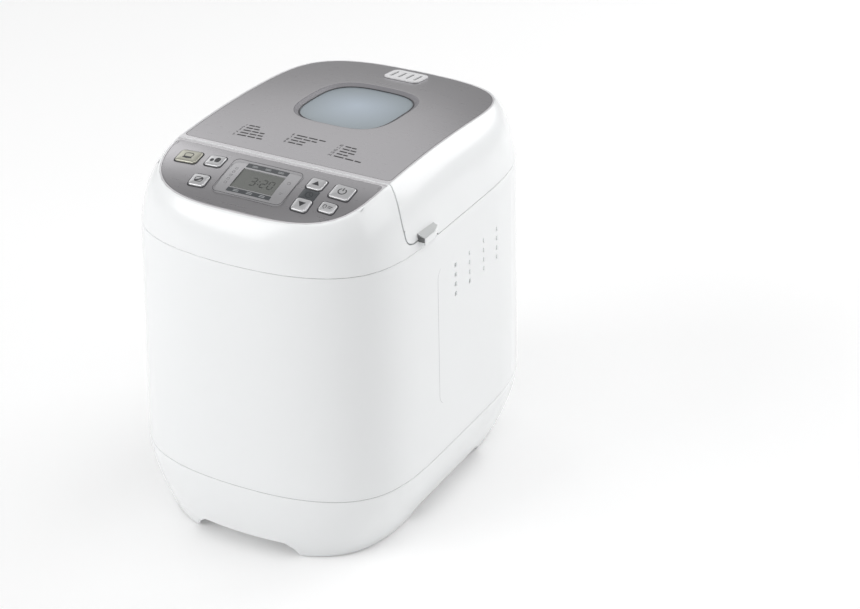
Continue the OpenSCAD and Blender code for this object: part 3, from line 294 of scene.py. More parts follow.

# Four columns of four slots on each side. Grid lines run just outside and just inside each slot's edges,
# and the points between them are pressed in; the sunk cells are painted dark as painted shade in the slots.
slot_y = -13.5 + 22.1 * np.arange(4)
slot_z = 203.5 - 7.8 * np.arange(4)
lines_across, lines_up = [-0.75, -0.65, 0.65, 0.75], [-1.9, -1.8, 1.8, 1.9]
slot_half_y, slot_half_z, slot_depth, side_from = 0.7, 1.85, 2.2, 90
shell_low, shell_top, shell_round = 57.3, 239.25, 0.6
slot_e = np.interp(slot_y[:, None] + lines_across, half_y, half_run).ravel()
e = np.unique(np.concatenate([np.linspace(-0.5, 0.5, 361), slot_e, -slot_e]))[:-1]
rows = steps_between(shell_low + shell_round, shell_top - shell_round, 40, slot_z[:, None] + lines_up)
bend, rise = edge_steps(shell_round)
z = np.concatenate([[shell_low], shell_low + rise[:-1], rows, shell_top - rise[-2::-1], [shell_top]])
inset = np.concatenate([[wall], bend[:-1], 0 * rows, bend[-2::-1], [wall]])
z, inset = z[:, None], inset[:, None]
x, y = body_at(e, z)
in_column = np.abs(y[..., None] - slot_y).min(axis=2) < slot_half_y
in_row = np.abs(z[..., None] - slot_z).min(axis=2) < slot_half_z
sunk = in_column & in_row & (np.abs(x) > side_from)
x, y = body_at(e, z, inset + slot_depth * sunk)
corner = np.concatenate([sunk, sunk[:, :1]], axis=1)
shaded_pit = corner[:-1, :-1] & corner[1:, :-1] & corner[:-1, 1:] & corner[1:, 1:]
paint = np.concatenate([shaded_pit, np.zeros_like(shaded_pit[:1])])
body = piece("body_skin", [sheet(x, y, z, around=True, over=True, paint=paint)], [gloss_white, slot_shade],
             "machine")
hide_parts("body_shell")

# A grey line in each seam, a little behind the faces on both sides of it, is painted shadow in the gap.
# Grey ring inside each seam: painted shadow in the gap.
seam_shadow_grey = finish_of("painted shadow of the seams", (0.42, 0.425, 0.43), 0.7, bump=0)
seam_e, seam_inset = np.linspace(-0.5, 0.5, 361)[:-1], np.array([0.42, 0.42, 1.6, 1.6])[:, None]
for name, z0, z1 in (("lower", 56.7, 57.8), ("upper", 238.7, 239.9)):
    z = np.array([z0, z1, z1, z0])[:, None]
    line = sheet(*body_at(seam_e, z, seam_inset), z, around=True, over=True)
    piece("seam_shadow_line_" + name, [line], [seam_shadow_grey], "machine")

# ---- Base tray ----
# The moulded foot of the machine, curving in below the lower seam, with finger arches on all four sides.
# This is its smooth outside face; the floor, posts and screw towers behind it are the tray's own.
skirt_low, arch_rise, skin_proud = 1.2, 11, 0.06
tuck_most, tuck_power, tuck_ends, past_seam = 20, 1.6, 0.46, 3
arch_front_half, arch_side_half, front_part = 46, 58, 60


def base_at(e, z, proud=skin_proud):
    """Base wall at height z: drawn in at the sides by 20 mm times the share of height left to 3 mm past
    the seam, to the power 1.6, and by 0.46 of that at front and rear."""
    tuck = tuck_most * (1 - (z - skirt_low) / (low_seam + past_seam - skirt_low)) ** tuck_power
    return outline(turn_of(e), half_w - tuck + proud, front + tuck_ends * tuck - proud,
                   rear - tuck_ends * tuck + proud)


e = np.linspace(-0.5, 0.5, 601)[:-1]
x, y = base_at(e, skirt_low)
arch_far = [-5, 0, 5, 11, 20]
arch_up = arch_rise * np.array([0, 0, 0.55, 0.93, 1])
reach = np.where(np.abs(x) < front_part, arch_front_half - np.abs(x), arch_side_half - np.abs(y))
lower = skirt_low + np.interp(reach, arch_far, arch_up)
bend, rise = edge_steps(0.5)
v = np.linspace(0, 1, 16)[:, None] ** 0.8
z = np.concatenate([lower + (low_seam - 0.5 - lower) * v, low_seam - rise[-2::-1, None] + 0 * lower])
inset = np.concatenate([0 * v, bend[-2::-1, None]]) - skin_proud
x, y = base_at(e, np.minimum(z, low_seam), -inset)
piece("base_skin", [sheet(x, y, z, around=True)], [gloss_white], "machine", thick=0.8)

# ---- Control panel housing ----
# The front of the top, moulded with the strip that carries the lid's corners; gloss white plastic.
# Its rear edge follows the lid's side in an S; its rim holds the silver panel.
crown, crown_y, lip, gap_half, gap_lip = 292.5, -19.8, 0.8, 0.6, 1.8
rim_half, rim_front, rim_rear = 88.5, -138.85, 133.25
seam_half, seam_front, seam_rear = 108.7, -150.65, 150.85
gap_y, gap_bow = -77.3, 2000
n_ahead, m_ahead, n_behind, m_behind = 2.75, 8, 3.4, 5
s_top, s_tall, s_forward, foot_z, foot_r = 287.5, 29.9, 8, 253, 7
slope_start, slope_lean = 25.7, 0.95


def gap_at(x):
    """Middle of the gap between lid and panel, bowed to a radius of 1 m: x squared over twice that."""
    return gap_y + x * x / gap_bow


def lid_top(x, y):
    """Height of the lid: the crown less 0.000492 times the square of y from its ridge, less 0.000308
    times the square of x."""
    return crown - 0.000492 * (y - crown_y) ** 2 - 0.000308 * x * x


def panel_top(x, y):
    """Height of the panel: the lid's at the gap, plus 0.088 of the distance d behind it, less 0.0031 d d."""
    d = y - gap_at(x)
    return lid_top(x, gap_at(x)) + 0.088 * d - 0.0031 * d * d


def shoulder_at(e, t, inset=0):
    """Plan of the shoulder at share t of its height: it leans from the seam's plan to the rim's by
    0.6 t plus 0.4 t to the power 4."""
    s = 0.6 * t + 0.4 * t ** 4
    return outline(turn_of(e), seam_half + (rim_half - seam_half) * s - inset,
                   seam_front + (rim_front - seam_front) * s + inset,
                   seam_rear + (rim_rear - seam_rear) * s - inset,
                   2.24 + 0.51 * s, 6 + 2 * s, 2.6 + 0.8 * s, 3.8 + 1.2 * s)


def shoulder_point(e, z, z_low, top, inset=0):
    """Point of the shoulder at height z; its share of height runs from z_low to the rim under top."""
    x, y = shoulder_at(e, 1.0)
    return shoulder_at(e, np.clip((z - z_low) / (top(x, y) - z_low), 0, 1), inset - skin_proud)


def side_curve(z, g):
    """Distance behind the gap of the S edge at height z, moved back by g: straight above, a quarter wave
    8 mm forward over 30 mm, then a round foot of 7 mm; below the foot a short slope runs back."""
    u = np.clip((s_top - z) / s_tall, 0, 1)
    foot = -1 - np.sqrt(np.maximum(0, (foot_r - g) ** 2 - (z - foot_z) ** 2))
    d = np.where(z >= foot_z, g - s_forward * np.sin(np.pi / 2 * u), foot)
    foot_low = foot_z - foot_r + g
    return np.where(z < foot_low - 1e-6, slope_start + 0.5 * g + (foot_low - z) * slope_lean, d)


def meets(values, target):
    """Share of the plan, from 0 to 0.5, at which values sampled evenly along it pass the target."""
    return np.interp(target, values, np.linspace(0, 0.5, len(values)))


def columns(low, high, n, margin):
    """Shares from low to high for each row, with an extra column close to each end."""
    u = np.sort(np.concatenate([np.linspace(0, 1, n), [margin, 1 - margin]]))
    return low[:, None] + (high - low)[:, None] * u


trial = np.linspace(0, 0.5, 2001)
trial_x, trial_y = shoulder_at(trial, 1.0)
rim_inset = np.array([0.1, 0.35, lip, lip])
rim_drop = np.array([0.1, 0.02, 0, 2.2])


def edge_at(z, z_low, top, g):
    """Share at which each row of heights z, one value or one per trial point, meets the S edge."""
    px, py = shoulder_point(trial, z, z_low, top)
    return meets(py - gap_at(px) - side_curve(z + 0 * trial, g), 0)


ear_x, ear_slot, ear_top = 46, 3.6, 260.4


def shoulder_rows(z_mid, z_low, top, g, around_rear):
    """Upper shoulder from height z_mid up to the rim, over its small round and down to the seat, with
    slots at the rear for the two hinge ears."""
    share = 0.985 * np.linspace(0, 1, 44)
    low = np.array([edge_at(z_mid + (top(trial_x, trial_y) - z_mid) * s, z_low, top, g) for s in share])
    rim = [shoulder_at(trial, 1.0, i) for i in rim_inset]
    low = np.concatenate([low, [meets(py - gap_at(px), g) for px, py in rim]])
    e = columns(low, 1 - low, 420, 0.0008) if around_rear else columns(-low, low, 420, 0.001)
    n = len(share)
    x1, y1 = shoulder_at(e[:n], 1.0)
    z1 = z_mid + (top(x1, y1) - z_mid) * share[:, None]
    x1, y1 = shoulder_point(e[:n], z1, z_low, top)
    x2, y2 = shoulder_at(e[n:], 1.0, rim_inset[:, None] - skin_proud)
    z2 = top(x2, y2) - rim_drop[:, None]
    x, y = np.concatenate([x1, x2]), np.concatenate([y1, y2])
    z = np.concatenate([z1, z2]) + 0.03 * np.linspace(0, 1, n + 4)[:, None] ** 0.2
    cx, cy, cz = ((a[1:, 1:] + a[:-1, :-1]) / 2 for a in (x, y, z))
    keep = (np.abs(np.abs(cx) - ear_x) > ear_slot) | (cy < widest) | (cz > ear_top)
    return sheet(x, y, z, keep=keep)


def low_rows(z_from, z_to, z_low, top, g):
    """Heights, insets and the share of the S edge for the lower shoulder between two heights."""
    bend, rise = edge_steps(0.4)
    z = np.linspace(z_from, z_to, 9)
    inset = 0 * z
    if z_from == z_low:
        z = np.concatenate([z_from + rise[:-1], np.linspace(z_from + 0.4, z_to, 8)])
        inset = np.concatenate([bend[:-1], np.zeros(8)])
    low = np.array([edge_at(min(h, z_to - 0.001), z_low, top, g) for h in z])
    return low, z[:, None], inset[:, None]


pale_edge = finish_of("pale silver ledge", (0.60, 0.59, 0.605), 0.3, metal=0.2, drift=0.01, bump=0.002)


def gap_strip(name, g, top, body):
    """Narrow ledge beside the gap: a profile of distance from the gap and drop, carried across the top;
    its ends meet the rim after three rounds, since each depends on the bow of the gap there."""
    d = np.array([0, 0, 0.1, 0.35, gap_lip, gap_lip])[:, None] * np.sign(g) + g
    drop = np.array([8, 0.35, 0.1, 0, 0, 2.2])[:, None]
    end = rim_half - lip
    for _ in range(3):
        y = gap_at(end) + d
        far = np.abs((y - widest) / (widest - rim_front - lip))
        end = (rim_half - lip) * (1 - far ** m_ahead) ** (1 / n_ahead)
    x = end * np.linspace(-1, 1, 201)
    y = gap_at(x) + d
    paint = (np.arange(5) > 0)[:, None]
    strip = sheet(x, y, top(x, y) - drop + 0.03, flip=g < 0, paint=paint)
    return piece(name, [strip], [gloss_white, pale_edge], body, thick=0.6)


housing_mid = 245.4
low, z, inset = low_rows(high_seam, housing_mid, high_seam, panel_top, -gap_half)
e = columns(-low, low, 420, 0.001)
x, y = shoulder_point(e, z, high_seam, panel_top, inset)
upper = shoulder_rows(housing_mid, high_seam, panel_top, -gap_half, False)
piece("housing_skin", [sheet(x, y, z), upper], [gloss_white], "machine", thick=0.8)
gap_strip("housing_gap_edge", -gap_half, panel_top, "machine")

# ---- Lid ----
# Gloss white moulding that turns on a rolled edge at the rear; its sides lap forward over the housing.
# This is its smooth outside face, with two slots for the ears of the hinge; the rest is the lid's own.
lid_low, lid_foot, lid_mid, corner_x = 240.2, 246.6, 258, 82.3
rear_part = trial[1400:]
side = []
for z_from, z_to in ((lid_low, lid_foot), (lid_foot, lid_mid)):
    low, z, inset = low_rows(z_from, z_to, lid_low, lid_top, gap_half)
    far = []
    for h in z.ravel():
        px, _ = shoulder_point(rear_part, h, lid_low, lid_top)
        far.append(np.interp(-corner_x, -px, rear_part))
    e = columns(low, np.array(far), 160, 0.002)
    x, y = shoulder_point(e, z, lid_low, lid_top, inset)
    side += [sheet(x, y, z), sheet(-x, y, z, flip=True)]
upper = shoulder_rows(lid_mid, lid_low, lid_top, gap_half, True)
piece("lid_skin", side + [upper], [gloss_white], "lid", thick=0.8)
gap_strip("lid_gap_edge", gap_half, lid_top, "lid")

# ---- Finger grips ----
# Grey strip above the tab on each side of the lid, where fingers lift it: painted shade of the finger scoop,
# with a darker end that is painted shadow at its front. It lies on the tab and rises to meet the lid's wall.
# Grey and dark paint standing for the shade of the finger scoop and the shadow at its front end.
grip_shade_paint = finish_of("grey painted shade above the tab", (0.52, 0.53, 0.53), 0.6, drift=0.03, bump=0.02, grain=900)
end_shadow_paint = finish_of("painted shadow at the grip's front end", (0.16, 0.165, 0.165), 0.6, bump=0.01)
tab_top, grip_rise, grip_front, grip_rear = 248.66, 2.3, -66.1, -43.0


def lid_wall(y, z):
    """Distance of the lid's side wall from the middle plane at depth y and height z."""
    px, py = shoulder_point(trial, z, lid_low, lid_top)
    return np.interp(y, py, px)


for name, s in (("right", 1), ("left", -1)):
    y = np.linspace(grip_front, grip_rear, 24)
    v = np.linspace(0, 1, 7)[:, None]
    outer = np.interp(y, [-66, -65, -52, -42], [111.8, 112.2, 112.2, 109.4])
    x = outer + (lid_wall(y, tab_top + grip_rise) + 0.1 - outer) * v
    z = tab_top + grip_rise * v ** 1.4 * (1 - 0.35 * (y - grip_front) / (grip_rear - grip_front))
    strip = sheet(s * x, y, z, flip=s > 0)
    piece("finger_grip_shade_" + name, [strip], [grip_shade_paint], "lid", thick=0.4)
    x = np.linspace(104.5, 111.9, 9)
    z = np.array([245.0, 247.0, tab_top])[:, None]
    strip_end = sheet(s * x, grip_front + 0 * x, z, flip=s < 0)
    piece("grip_shadow_end_" + name, [strip_end], [end_shadow_paint], "lid", thick=0.4)

# ---- Lid plate ----
# Brushed silver sheet with a pale bevelled edge, a scored line inside it, and a dished window recess.
# It is pressed to the lid's crown and lies in a seat of its own, level with the rim round it.
brushed = {"drift": 0.03, "metal": 0.9, "bump": 0.0007, "grain": 260, "stretch": (0.12, 4, 4)}
# The lid's and the panel's silver are one finish in two tints, lighter on the lid and darker on the panel:
# painted light and painted shade.
silver = finish_of("satin silver panel sheet, darkened as painted shade", (0.42, 0.412, 0.426), 0.28, **brushed)
score_and_grille_shade = finish_of("scored line and grille shade", (0.22, 0.21, 0.22), 0.5)
lit_lid_silver = finish_of("satin silver lid sheet, lightened as painted light", (0.51, 0.50, 0.517), 0.28, **brushed)
# The recess is painted darker than the sheet round it: painted shade in the hollow.
recess_shade_tint = finish_of("satin silver recess, darkened as painted shade", (0.22, 0.215, 0.23), 0.55, metal=0.2, drift=0.01, bump=0)
window_x, window_long, window_y, window_bevel, glass_in = 35, 39.1, 34.1, 5.5, 2.4
window_power, sheet_in, soft_corner, crisp_corner = 2 / 0.62, 0.9, 5.0, 0.8


def inside_by(x, y, g, corner=soft_corner):
    """How far a point lies inside the sheet's edge: the rim plan and the gap line, joined by a corner of
    the given radius."""
    ahead = y < widest
    n, m = np.where(ahead, n_ahead, n_behind), np.where(ahead, m_ahead, m_behind)
    long = np.where(ahead, widest - rim_front - sheet_in, rim_rear - sheet_in - widest)
    u, v = np.abs(x) / (rim_half - sheet_in), np.abs(y - widest) / long
    steep = np.hypot(n * u ** (n - 1) / (rim_half - sheet_in), m * v ** (m - 1) / long)
    rim = (1 - u ** n - v ** m) / np.maximum(steep, 1e-4)
    gap = (y - gap_at(x)) * np.sign(g) - abs(g)
    both = corner - np.hypot(np.maximum(corner - rim, 0), np.maximum(corner - gap, 0))
    return np.where((rim > corner) & (gap > corner), np.minimum(rim, gap), both)


def edge_radius(q, cx, cy, inset, g):
    """Distance from (cx, cy) along each direction q to the line that lies inset within the sheet's
    edge, halved down to; the outermost lines have sharper corners."""
    low, high = np.zeros_like(q), np.full_like(q, 260.0)
    for _ in range(40):
        r = (low + high) / 2
        corner = crisp_corner if inset < 1 else soft_corner
        within = inside_by(cx + r * np.cos(q), cy + r * np.sin(q), g, corner) > inset
        low, high = np.where(within, r, low), np.where(within, high, r)
    return low


def even_directions(cx, cy, g, n):
    """n directions from (cx, cy) that meet the sheet's edge at even steps of its length."""
    q = np.linspace(0, 2 * np.pi, 4001)
    r = edge_radius(q, cx, cy, 0.0, g)
    x, y = r * np.cos(q), r * np.sin(q)
    run = np.concatenate([[0], np.cumsum(np.hypot(np.diff(x), np.diff(y)))])
    return np.interp(np.arange(n) / n * run[-1], run, q)


def window_radius(q, off):
    """Distance from the window's middle to its rounded-square outline, widened by off."""
    n = window_power
    across, along = np.abs(np.cos(q)) / (window_x + off), np.abs(np.sin(q)) / (window_long + off)
    return (across ** n + along ** n) ** (-1 / n)


# Lines of the sheet from its edge inwards, as inset and drop: the bevelled edge, the scored line, the
# plain field, the recess's wall, and the underside.
edge_inset = np.array([0.12, 0.0, 0.0, 0.12, 0.4, 1.35, 1.45, 1.75, 1.85])
edge_drop = np.array([1.9, 1.8, 0.4, 0.12, 0.0, 0.0, 0.3, 0.3, 0.0])
sheet_gap, under_depth, sheet_sink = 0.15, 5.0, 0.12
lid_g = gap_half + gap_lip + sheet_gap
q = even_directions(0, window_y, lid_g, 720)
r_edge = np.array([edge_radius(q, 0, window_y, i, lid_g) for i in edge_inset])
u = np.linspace(0, 1, 28)[1:-1, None]
r_window = window_radius(q, window_bevel + 0.4)
r_field = r_edge[-1] + (r_window - r_edge[-1]) * u
off = np.array([0.4, 0.1, -0.3, -0.9, -1.6, -2.3, -2.8, -3.1, -3.1]) + window_bevel
fall = np.array([0, 0.03, 0.2, 0.65, 1.3, 1.95, 2.3, glass_in, under_depth])
r_recess = window_radius(q, off[:, None])
r_under = np.stack([window_radius(q, window_bevel + 0.5), r_edge[0] - 3])
r = np.concatenate([r_edge, r_field, r_recess, r_under])
drop = np.concatenate([edge_drop, np.zeros(len(r_field)), fall, [under_depth, 1.9]])[:, None]
x, y = r * np.cos(q), window_y + r * np.sin(q)
row = np.arange(len(r))[:, None] + np.zeros(len(q), int)
bevel_rows, score_rows, flat_rows = 5, 8, 9 + len(r_field)
paint = np.select([row < bevel_rows, row < score_rows, row < flat_rows, row < len(r) - 4], [1, 2, 0, 3], 2)
# The field under the grille takes the dark of the scored line: painted shade beneath the grille.
grille_y = rim_rear - 21.75
grille_shade_mask = (np.abs(x) < 11.5) & (np.abs(y - grille_y) < 7.5)
paint = np.where(grille_shade_mask & (row < flat_rows), 2, paint)
form = sheet(x, y, lid_top(x, y) - drop - sheet_sink, around=True, over=True, paint=paint)
plate = piece("lid_plate_sheet", [form], [lit_lid_silver, pale_edge, score_and_grille_shade, recess_shade_tint], "lid",
              sharp=40)
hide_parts("lid_plate")

# ---- Window ----
# Domed pane of milky tinted glass in a dark gasket at the bottom of the recess; its colour is paler at the
# crown, a painted highlight.
# The gasket grips it from above, and it rests on the lid's moulding.
milk_glass = bpy.data.materials.new("milky window glass with painted highlight")
milk_glass.use_nodes = True
tree = milk_glass.node_tree
pane = tree.nodes["Principled BSDF"]
place = tree.nodes.new("ShaderNodeTexCoord")
centred = tree.nodes.new("ShaderNodeMapping")
centred.vector_type = "TEXTURE"
centred.inputs["Location"].default_value = (0, window_y * mm, (crown - glass_in) * mm)
highlight_reach = 0.045
centred.inputs["Scale"].default_value = (highlight_reach, highlight_reach, highlight_reach)
crown_highlight = tree.nodes.new("ShaderNodeTexGradient")
crown_highlight.gradient_type = "SPHERICAL"
# Colour ramp from the edge tint to a paler crown: painted highlight.
highlight_ramp = tree.nodes.new("ShaderNodeMix")
highlight_ramp.data_type = "RGBA"
highlight_ramp.inputs[6].default_value = (0.31, 0.36, 0.39, 1)
highlight_ramp.inputs[7].default_value = (0.50, 0.58, 0.67, 1)
wire(tree, place.outputs["Object"], centred.inputs["Vector"])
wire(tree, centred.outputs[0], crown_highlight.inputs["Vector"])
wire(tree, crown_highlight.outputs["Fac"], highlight_ramp.inputs["Factor"])
wire(tree, highlight_ramp.outputs[2], pane.inputs["Base Color"])
pane.inputs["Roughness"].default_value = 0.35
pane.inputs["Transmission Weight"].default_value = 0.25
pane.inputs["Coat Weight"].default_value = 0.5
pane.inputs["Coat Roughness"].default_value = 0.3
pane_off, pane_thick, dome_rise, pole = 2.4, 3, 1.7, 0.0001
q = np.linspace(0, 2 * np.pi, 241)[:-1]
k = np.concatenate([[pole], np.linspace(0.06, 1, 22)])[:, None]
base_r = window_radius(q, pane_off - 0.25)
dome = dome_rise * (1 - k ** 2)
r = np.concatenate([k * base_r, [base_r, base_r * pole]])
drop = np.concatenate([glass_in + 0.35 - dome + 0 * q, np.full((2, len(q)), glass_in + pane_thick)])
x, y = r * np.cos(q), window_y + r * np.sin(q)
form = sheet(x, y, lid_top(x, y) - drop, around=True, over=True, flip=True)
glass = piece("window_pane", [form], [milk_glass], "lid", sharp=40)
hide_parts("window_glass")
gasket = finish_of("dark gasket", (0.05, 0.05, 0.055), 0.55)
swing = np.linspace(0, 2 * np.pi, 13)[:-1, None]
bead = 0.5
r = window_radius(q, pane_off - 0.3 + bead * np.cos(swing))
x, y = r * np.cos(q), window_y + r * np.sin(q)
form = sheet(x, y, lid_top(x, y) - glass_in - 0.1 + bead * np.sin(swing), around=True, over=True, flip=True)
piece("window_gasket", [form], [gasket], "lid")

# ---- Control panel sheet ----
# Brushed silver sheet like the lid's, its colour a little darker as painted shade,
# with openings for the buttons and the display.
# It is pressed to the housing's curve, lies in a seat in it, and has the same bevelled edge and scored line.
panel_y = (rim_front + gap_y) / 2
display_y, key_gap = panel_y + 0.9, 0.25
button_seats = {"menu": (-64.3, 11.3, 18, 13), "size": (-42, 11.9, 13.5, 12),
                "crust": (-42.2, -9.9, 13.5, 11), "up": (41.8, 12.3, 12.5, 12),
                "down": (42.5, -10.3, 12.5, 11.5), "power": (63.2, 11.1, 16, 14.5),
                "light": (61.5, -6.4, 12, 9.5)}
holes = [(x, panel_y + y, w / 2 + key_gap, l / 2 + key_gap) for x, y, w, l in button_seats.values()]
holes.append((0, display_y, 19, 15.5))
panel_g = -gap_half - gap_lip - sheet_gap
q = even_directions(0, panel_y, panel_g, 640)
inset = np.concatenate([edge_inset, [3.2, 3.2]])
drop = np.concatenate([edge_drop, [0.0, 1.9]])[:, None]
r = np.array([edge_radius(q, 0, panel_y, i, panel_g) for i in inset])
x, y = r * np.cos(q), panel_y + r * np.sin(q)
paint = (np.arange(len(r)) < bevel_rows)[:, None]
frame_band = sheet(x, y, panel_top(x, y) - drop + 0.05, around=True, over=True, paint=paint)
lines_x = steps_between(-86, 86, 130, [[h[0] - h[2], h[0] + h[2]] for h in holes])
lines_y = steps_between(-137, -75, 56, [[h[1] - h[3], h[1] + h[3]] for h in holes])
trial_line = np.linspace(-139, -70, 1400)
inside = inside_by(lines_x[:, None], trial_line, panel_g) > 2.6
some = inside.any(axis=1)
front_line = np.where(some, trial_line[np.argmax(inside, axis=1)], panel_y)
rear_line = np.where(some, trial_line[-1 - np.argmax(inside[:, ::-1], axis=1)], panel_y)
y = np.clip(lines_y[:, None], front_line, rear_line)
x = lines_x + 0 * y
cx, cy = (x[1:, 1:] + x[:-1, :-1]) / 2, (y[1:, 1:] + y[:-1, :-1] + y[1:, :-1] + y[:-1, 1:]) / 4
keep = np.ptp(np.stack([y[1:, 1:], y[:-1, :-1], y[1:, :-1], y[:-1, 1:]]), axis=0) > 1e-6
for hx, hy, hw, hl in holes:
    keep &= (np.abs(cx - hx) > hw) | (np.abs(cy - hy) > hl)
form = sheet(x, y, panel_top(x, y) + 0.03, keep=keep)
field = piece("panel_sheet", [form], [silver], "machine", thick=1.8)
piece("panel_edge", [frame_band], [silver, pale_edge], "machine", sharp=40)
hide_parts("fascia_panel")

# ---- Buttons ----
# Sprung keys of pale silver plastic, pillowed, each in a dark rounded slot, with a printed sign.
# Each slides in its own guide under the panel and stands a little proud of it.
key_silver = finish_of("pale silver key", (0.56, 0.56, 0.57), 0.34, metal=0.7, drift=0.02, bump=0.002)
key_warm = finish_of("warm silver key", (0.44, 0.435, 0.375), 0.34, metal=0.7, drift=0.02, bump=0.002)
dark_slot = finish_of("dark slot", (0.035, 0.035, 0.04), 0.5)
rounding = np.linspace(0, 2 * np.pi, 97)[:-1]


def rounded_ring(w, l, r):
    """Outline of a rectangle w by l with corners of radius r: a small circle carried to each corner."""
    c, s = np.cos(rounding), np.sin(rounding)
    side, end = np.sign(c) * (np.abs(c) > 1e-9), np.sign(s) * (np.abs(s) > 1e-9)
    return (w / 2 - r) * side + r * c, (l / 2 - r) * end + r * s


def on_panel(x, y, lift, cx, cy):
    """Carries a flat point by (x, y) from (cx, cy) and lifts it off the panel along its slope there, which
    is the rate of change of panel_top."""
    d = cy - gap_at(cx)
    slope = 0.088 - 0.0062 * d
    lean = -(slope * cx / 1000 + 0.000616 * cx)
    return cx + x - lean * lift, cy + y - slope * lift, panel_top(cx, cy) + lean * x + slope * y + lift


def pillow(w, l, r, step, height, cx, cy):
    """Closed tile on the panel: a rounded outline drawn in by each step and lifted to each height, then
    drawn to a point."""
    ring = np.array([rounded_ring(w - 2 * i, l - 2 * i, max(r - i, 0.25)) for i in step])
    ring = np.concatenate([ring[:1] * 0.001, ring, ring[-1:] * 0.5, ring[-1:] * 0.001])
    h = np.concatenate([height[:1], height, height[-1:] + 0.02, height[-1:] + 0.03])[:, None]
    return sheet(*on_panel(ring[:, 0], ring[:, 1], h, cx, cy), around=True)


def outline_ring(w, l, r, half, rise, cx, cy):
    """Rounded bead on the panel: an oval of half-width half and height rise carried round an outline."""
    swing = np.linspace(0, 2 * np.pi, 9)[:-1]
    ring = np.array([rounded_ring(w + 2 * half * np.cos(s), l + 2 * half * np.cos(s), r + half * np.cos(s))
                     for s in swing])
    return sheet(*on_panel(ring[:, 0], ring[:, 1], 0.02 + rise * np.sin(swing)[:, None], cx, cy),
                 around=True, over=True)


key_corner, slot_corner, slot_clear = 2.4, 2.9, 1.1
key_step = np.array([0, 0, 0.15, 0.5, 1.1, 2.0, 3.2, 4.6])
key_height = np.array([-3.6, 0.35, 0.75, 1.05, 1.22, 1.34, 1.42, 1.47])
for name, (bx, by, w, l) in button_seats.items():
    by += panel_y
    step = np.minimum(key_step, min(w, l) / 2 - 0.6)
    paint = key_warm if name == "menu" else key_silver
    tile = pillow(w, l, key_corner, step, key_height, bx, by)
    key = piece("key_" + name, [tile], [paint], name + "_button", sharp=40)
    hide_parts("button_" + name)
    slot_line = outline_ring(w + slot_clear, l + slot_clear, slot_corner, 0.42, 0.14, bx, by)
    piece("slot_" + name, [slot_line], [dark_slot], "machine")

# ---- Signs on the keys ----
# Dark printed signs: a loaf on the programme keys, arrows, a ring with a bar, a lamp.
# Between the arrow keys lies a dark printed block with a clock.
ink = finish_of("dark print", (0.03, 0.03, 0.033), 0.45, bump=0.004)
pale_ink = finish_of("pale print", (0.40, 0.41, 0.42), 0.45, bump=0.004)


def stroke(points, width, closed=False):
    """Band along a flat path: every point is moved half the width to the right and to the left."""
    p = np.array(points, float)
    p = np.concatenate([p, p[:1]]) if closed else p
    along = np.gradient(p, axis=0)
    if closed:
        along[[0, -1]] = p[1] - p[-2]
    along /= np.maximum(np.linalg.norm(along, axis=1, keepdims=True), 1e-9)
    side = np.stack([-along[:, 1], along[:, 0]], axis=1) * np.broadcast_to(width, len(p))[:, None] / 2
    return np.stack([p - side, p + side])


def arc(r, start, end, n=24, cx=0.0, cy=0.0):
    """n points on a circle of radius r, from one angle in degrees to another."""
    a = np.radians(np.linspace(start, end, n))
    return np.stack([cx + r * np.cos(a), cy + r * np.sin(a)], axis=1)


def loaf(w, h, cx=0.0, cy=0.0):
    """Loaf seen from its end, as a lower and an upper edge: a narrow foot under an oval crown."""
    u = np.linspace(-1, 1, 15)
    crown = cy + h * (0.25 + 0.3 * np.sqrt(1 - u ** 2))
    foot = cy - h * 0.5 * (1 - np.abs(u) ** 8)
    return np.stack([np.stack([cx + u * w / 2, foot], axis=1), np.stack([cx + u * w / 2, crown], axis=1)])


def printed(name, bands, place, paint, body):
    """Thin print of several bands, each carried onto the surface by place."""
    return piece(name, [sheet(*place(b[..., 0], b[..., 1])) for b in bands], [paint], body, thick=0.12)


def edge_of(shape, width):
    """Line round a filled shape."""
    return stroke(np.concatenate([shape[0], shape[1][::-1]]), width, closed=True)


signs = {"menu": [edge_of(loaf(7.0, 4.2, 0, 0.6), 0.75), stroke([(-3.8, -2.1), (0, -2.5), (3.8, -2.1)], 1.5)],
         "size": [loaf(3.0, 3.0, -2.5, -0.6), loaf(4.2, 5.0, 1.9, 0.2)],
         "crust": [edge_of(loaf(6.2, 4.0, 0, 0), 0.6), stroke([(-2.8, -1.5), (0, -0.3), (2.8, 1.3)], 1.3)],
         "up": [stroke([(0, -2.1), (0, 2.3)], [5.8, 0.02])],
         "down": [stroke([(0, 2.1), (0, -2.3)], [5.8, 0.02])],
         "power": [stroke(arc(2.9, 120, 420), 0.85), stroke([(0, 0.4), (0, 3.8)], 0.85)],
         "light": [stroke(arc(1.35, -60, 240, cx=-2.2), 0.42), stroke([(-2.7, -1.9), (-1.7, -1.9)], 0.42),
                   stroke([(0.4, 0.6), (3.6, 0.6)], 0.5), stroke([(0.4, -0.7), (2.8, -0.7)], 0.5)]}
for name, bands in signs.items():
    bx, by = button_seats[name][:2]
    top_of_key = lambda x, y, bx=bx, by=by + panel_y: on_panel(x, y, 1.54 - 0.004 * (x * x + y * y), bx, by)
    printed("sign_" + name, bands, top_of_key, ink, name + "_button")

block_x, block_y = 42.2, panel_y - 0.1 + 0.9
block_step, block_height = [0, 0, 0.1], np.array([-0.3, 0.05, 0.08])
block = finish_of("dark printed block", (0.05, 0.055, 0.06), 0.4, coat=0.2, bump=0.004)
tile = pillow(13.0, 9.4, 0.6, block_step, block_height, block_x, block_y)
piece("clock_block", [tile], [block], "machine")
on_block = lambda x, y: on_panel(x, y, 0.16, block_x, block_y)
clock = [stroke(arc(2.7, 0, 360), 0.4), stroke([(0, 1.7), (0, 0), (1.3, -0.6)], 0.4)]
printed("clock_sign", clock, on_block, finish_of("black print", (0.012, 0.014, 0.016), 0.45), "machine")

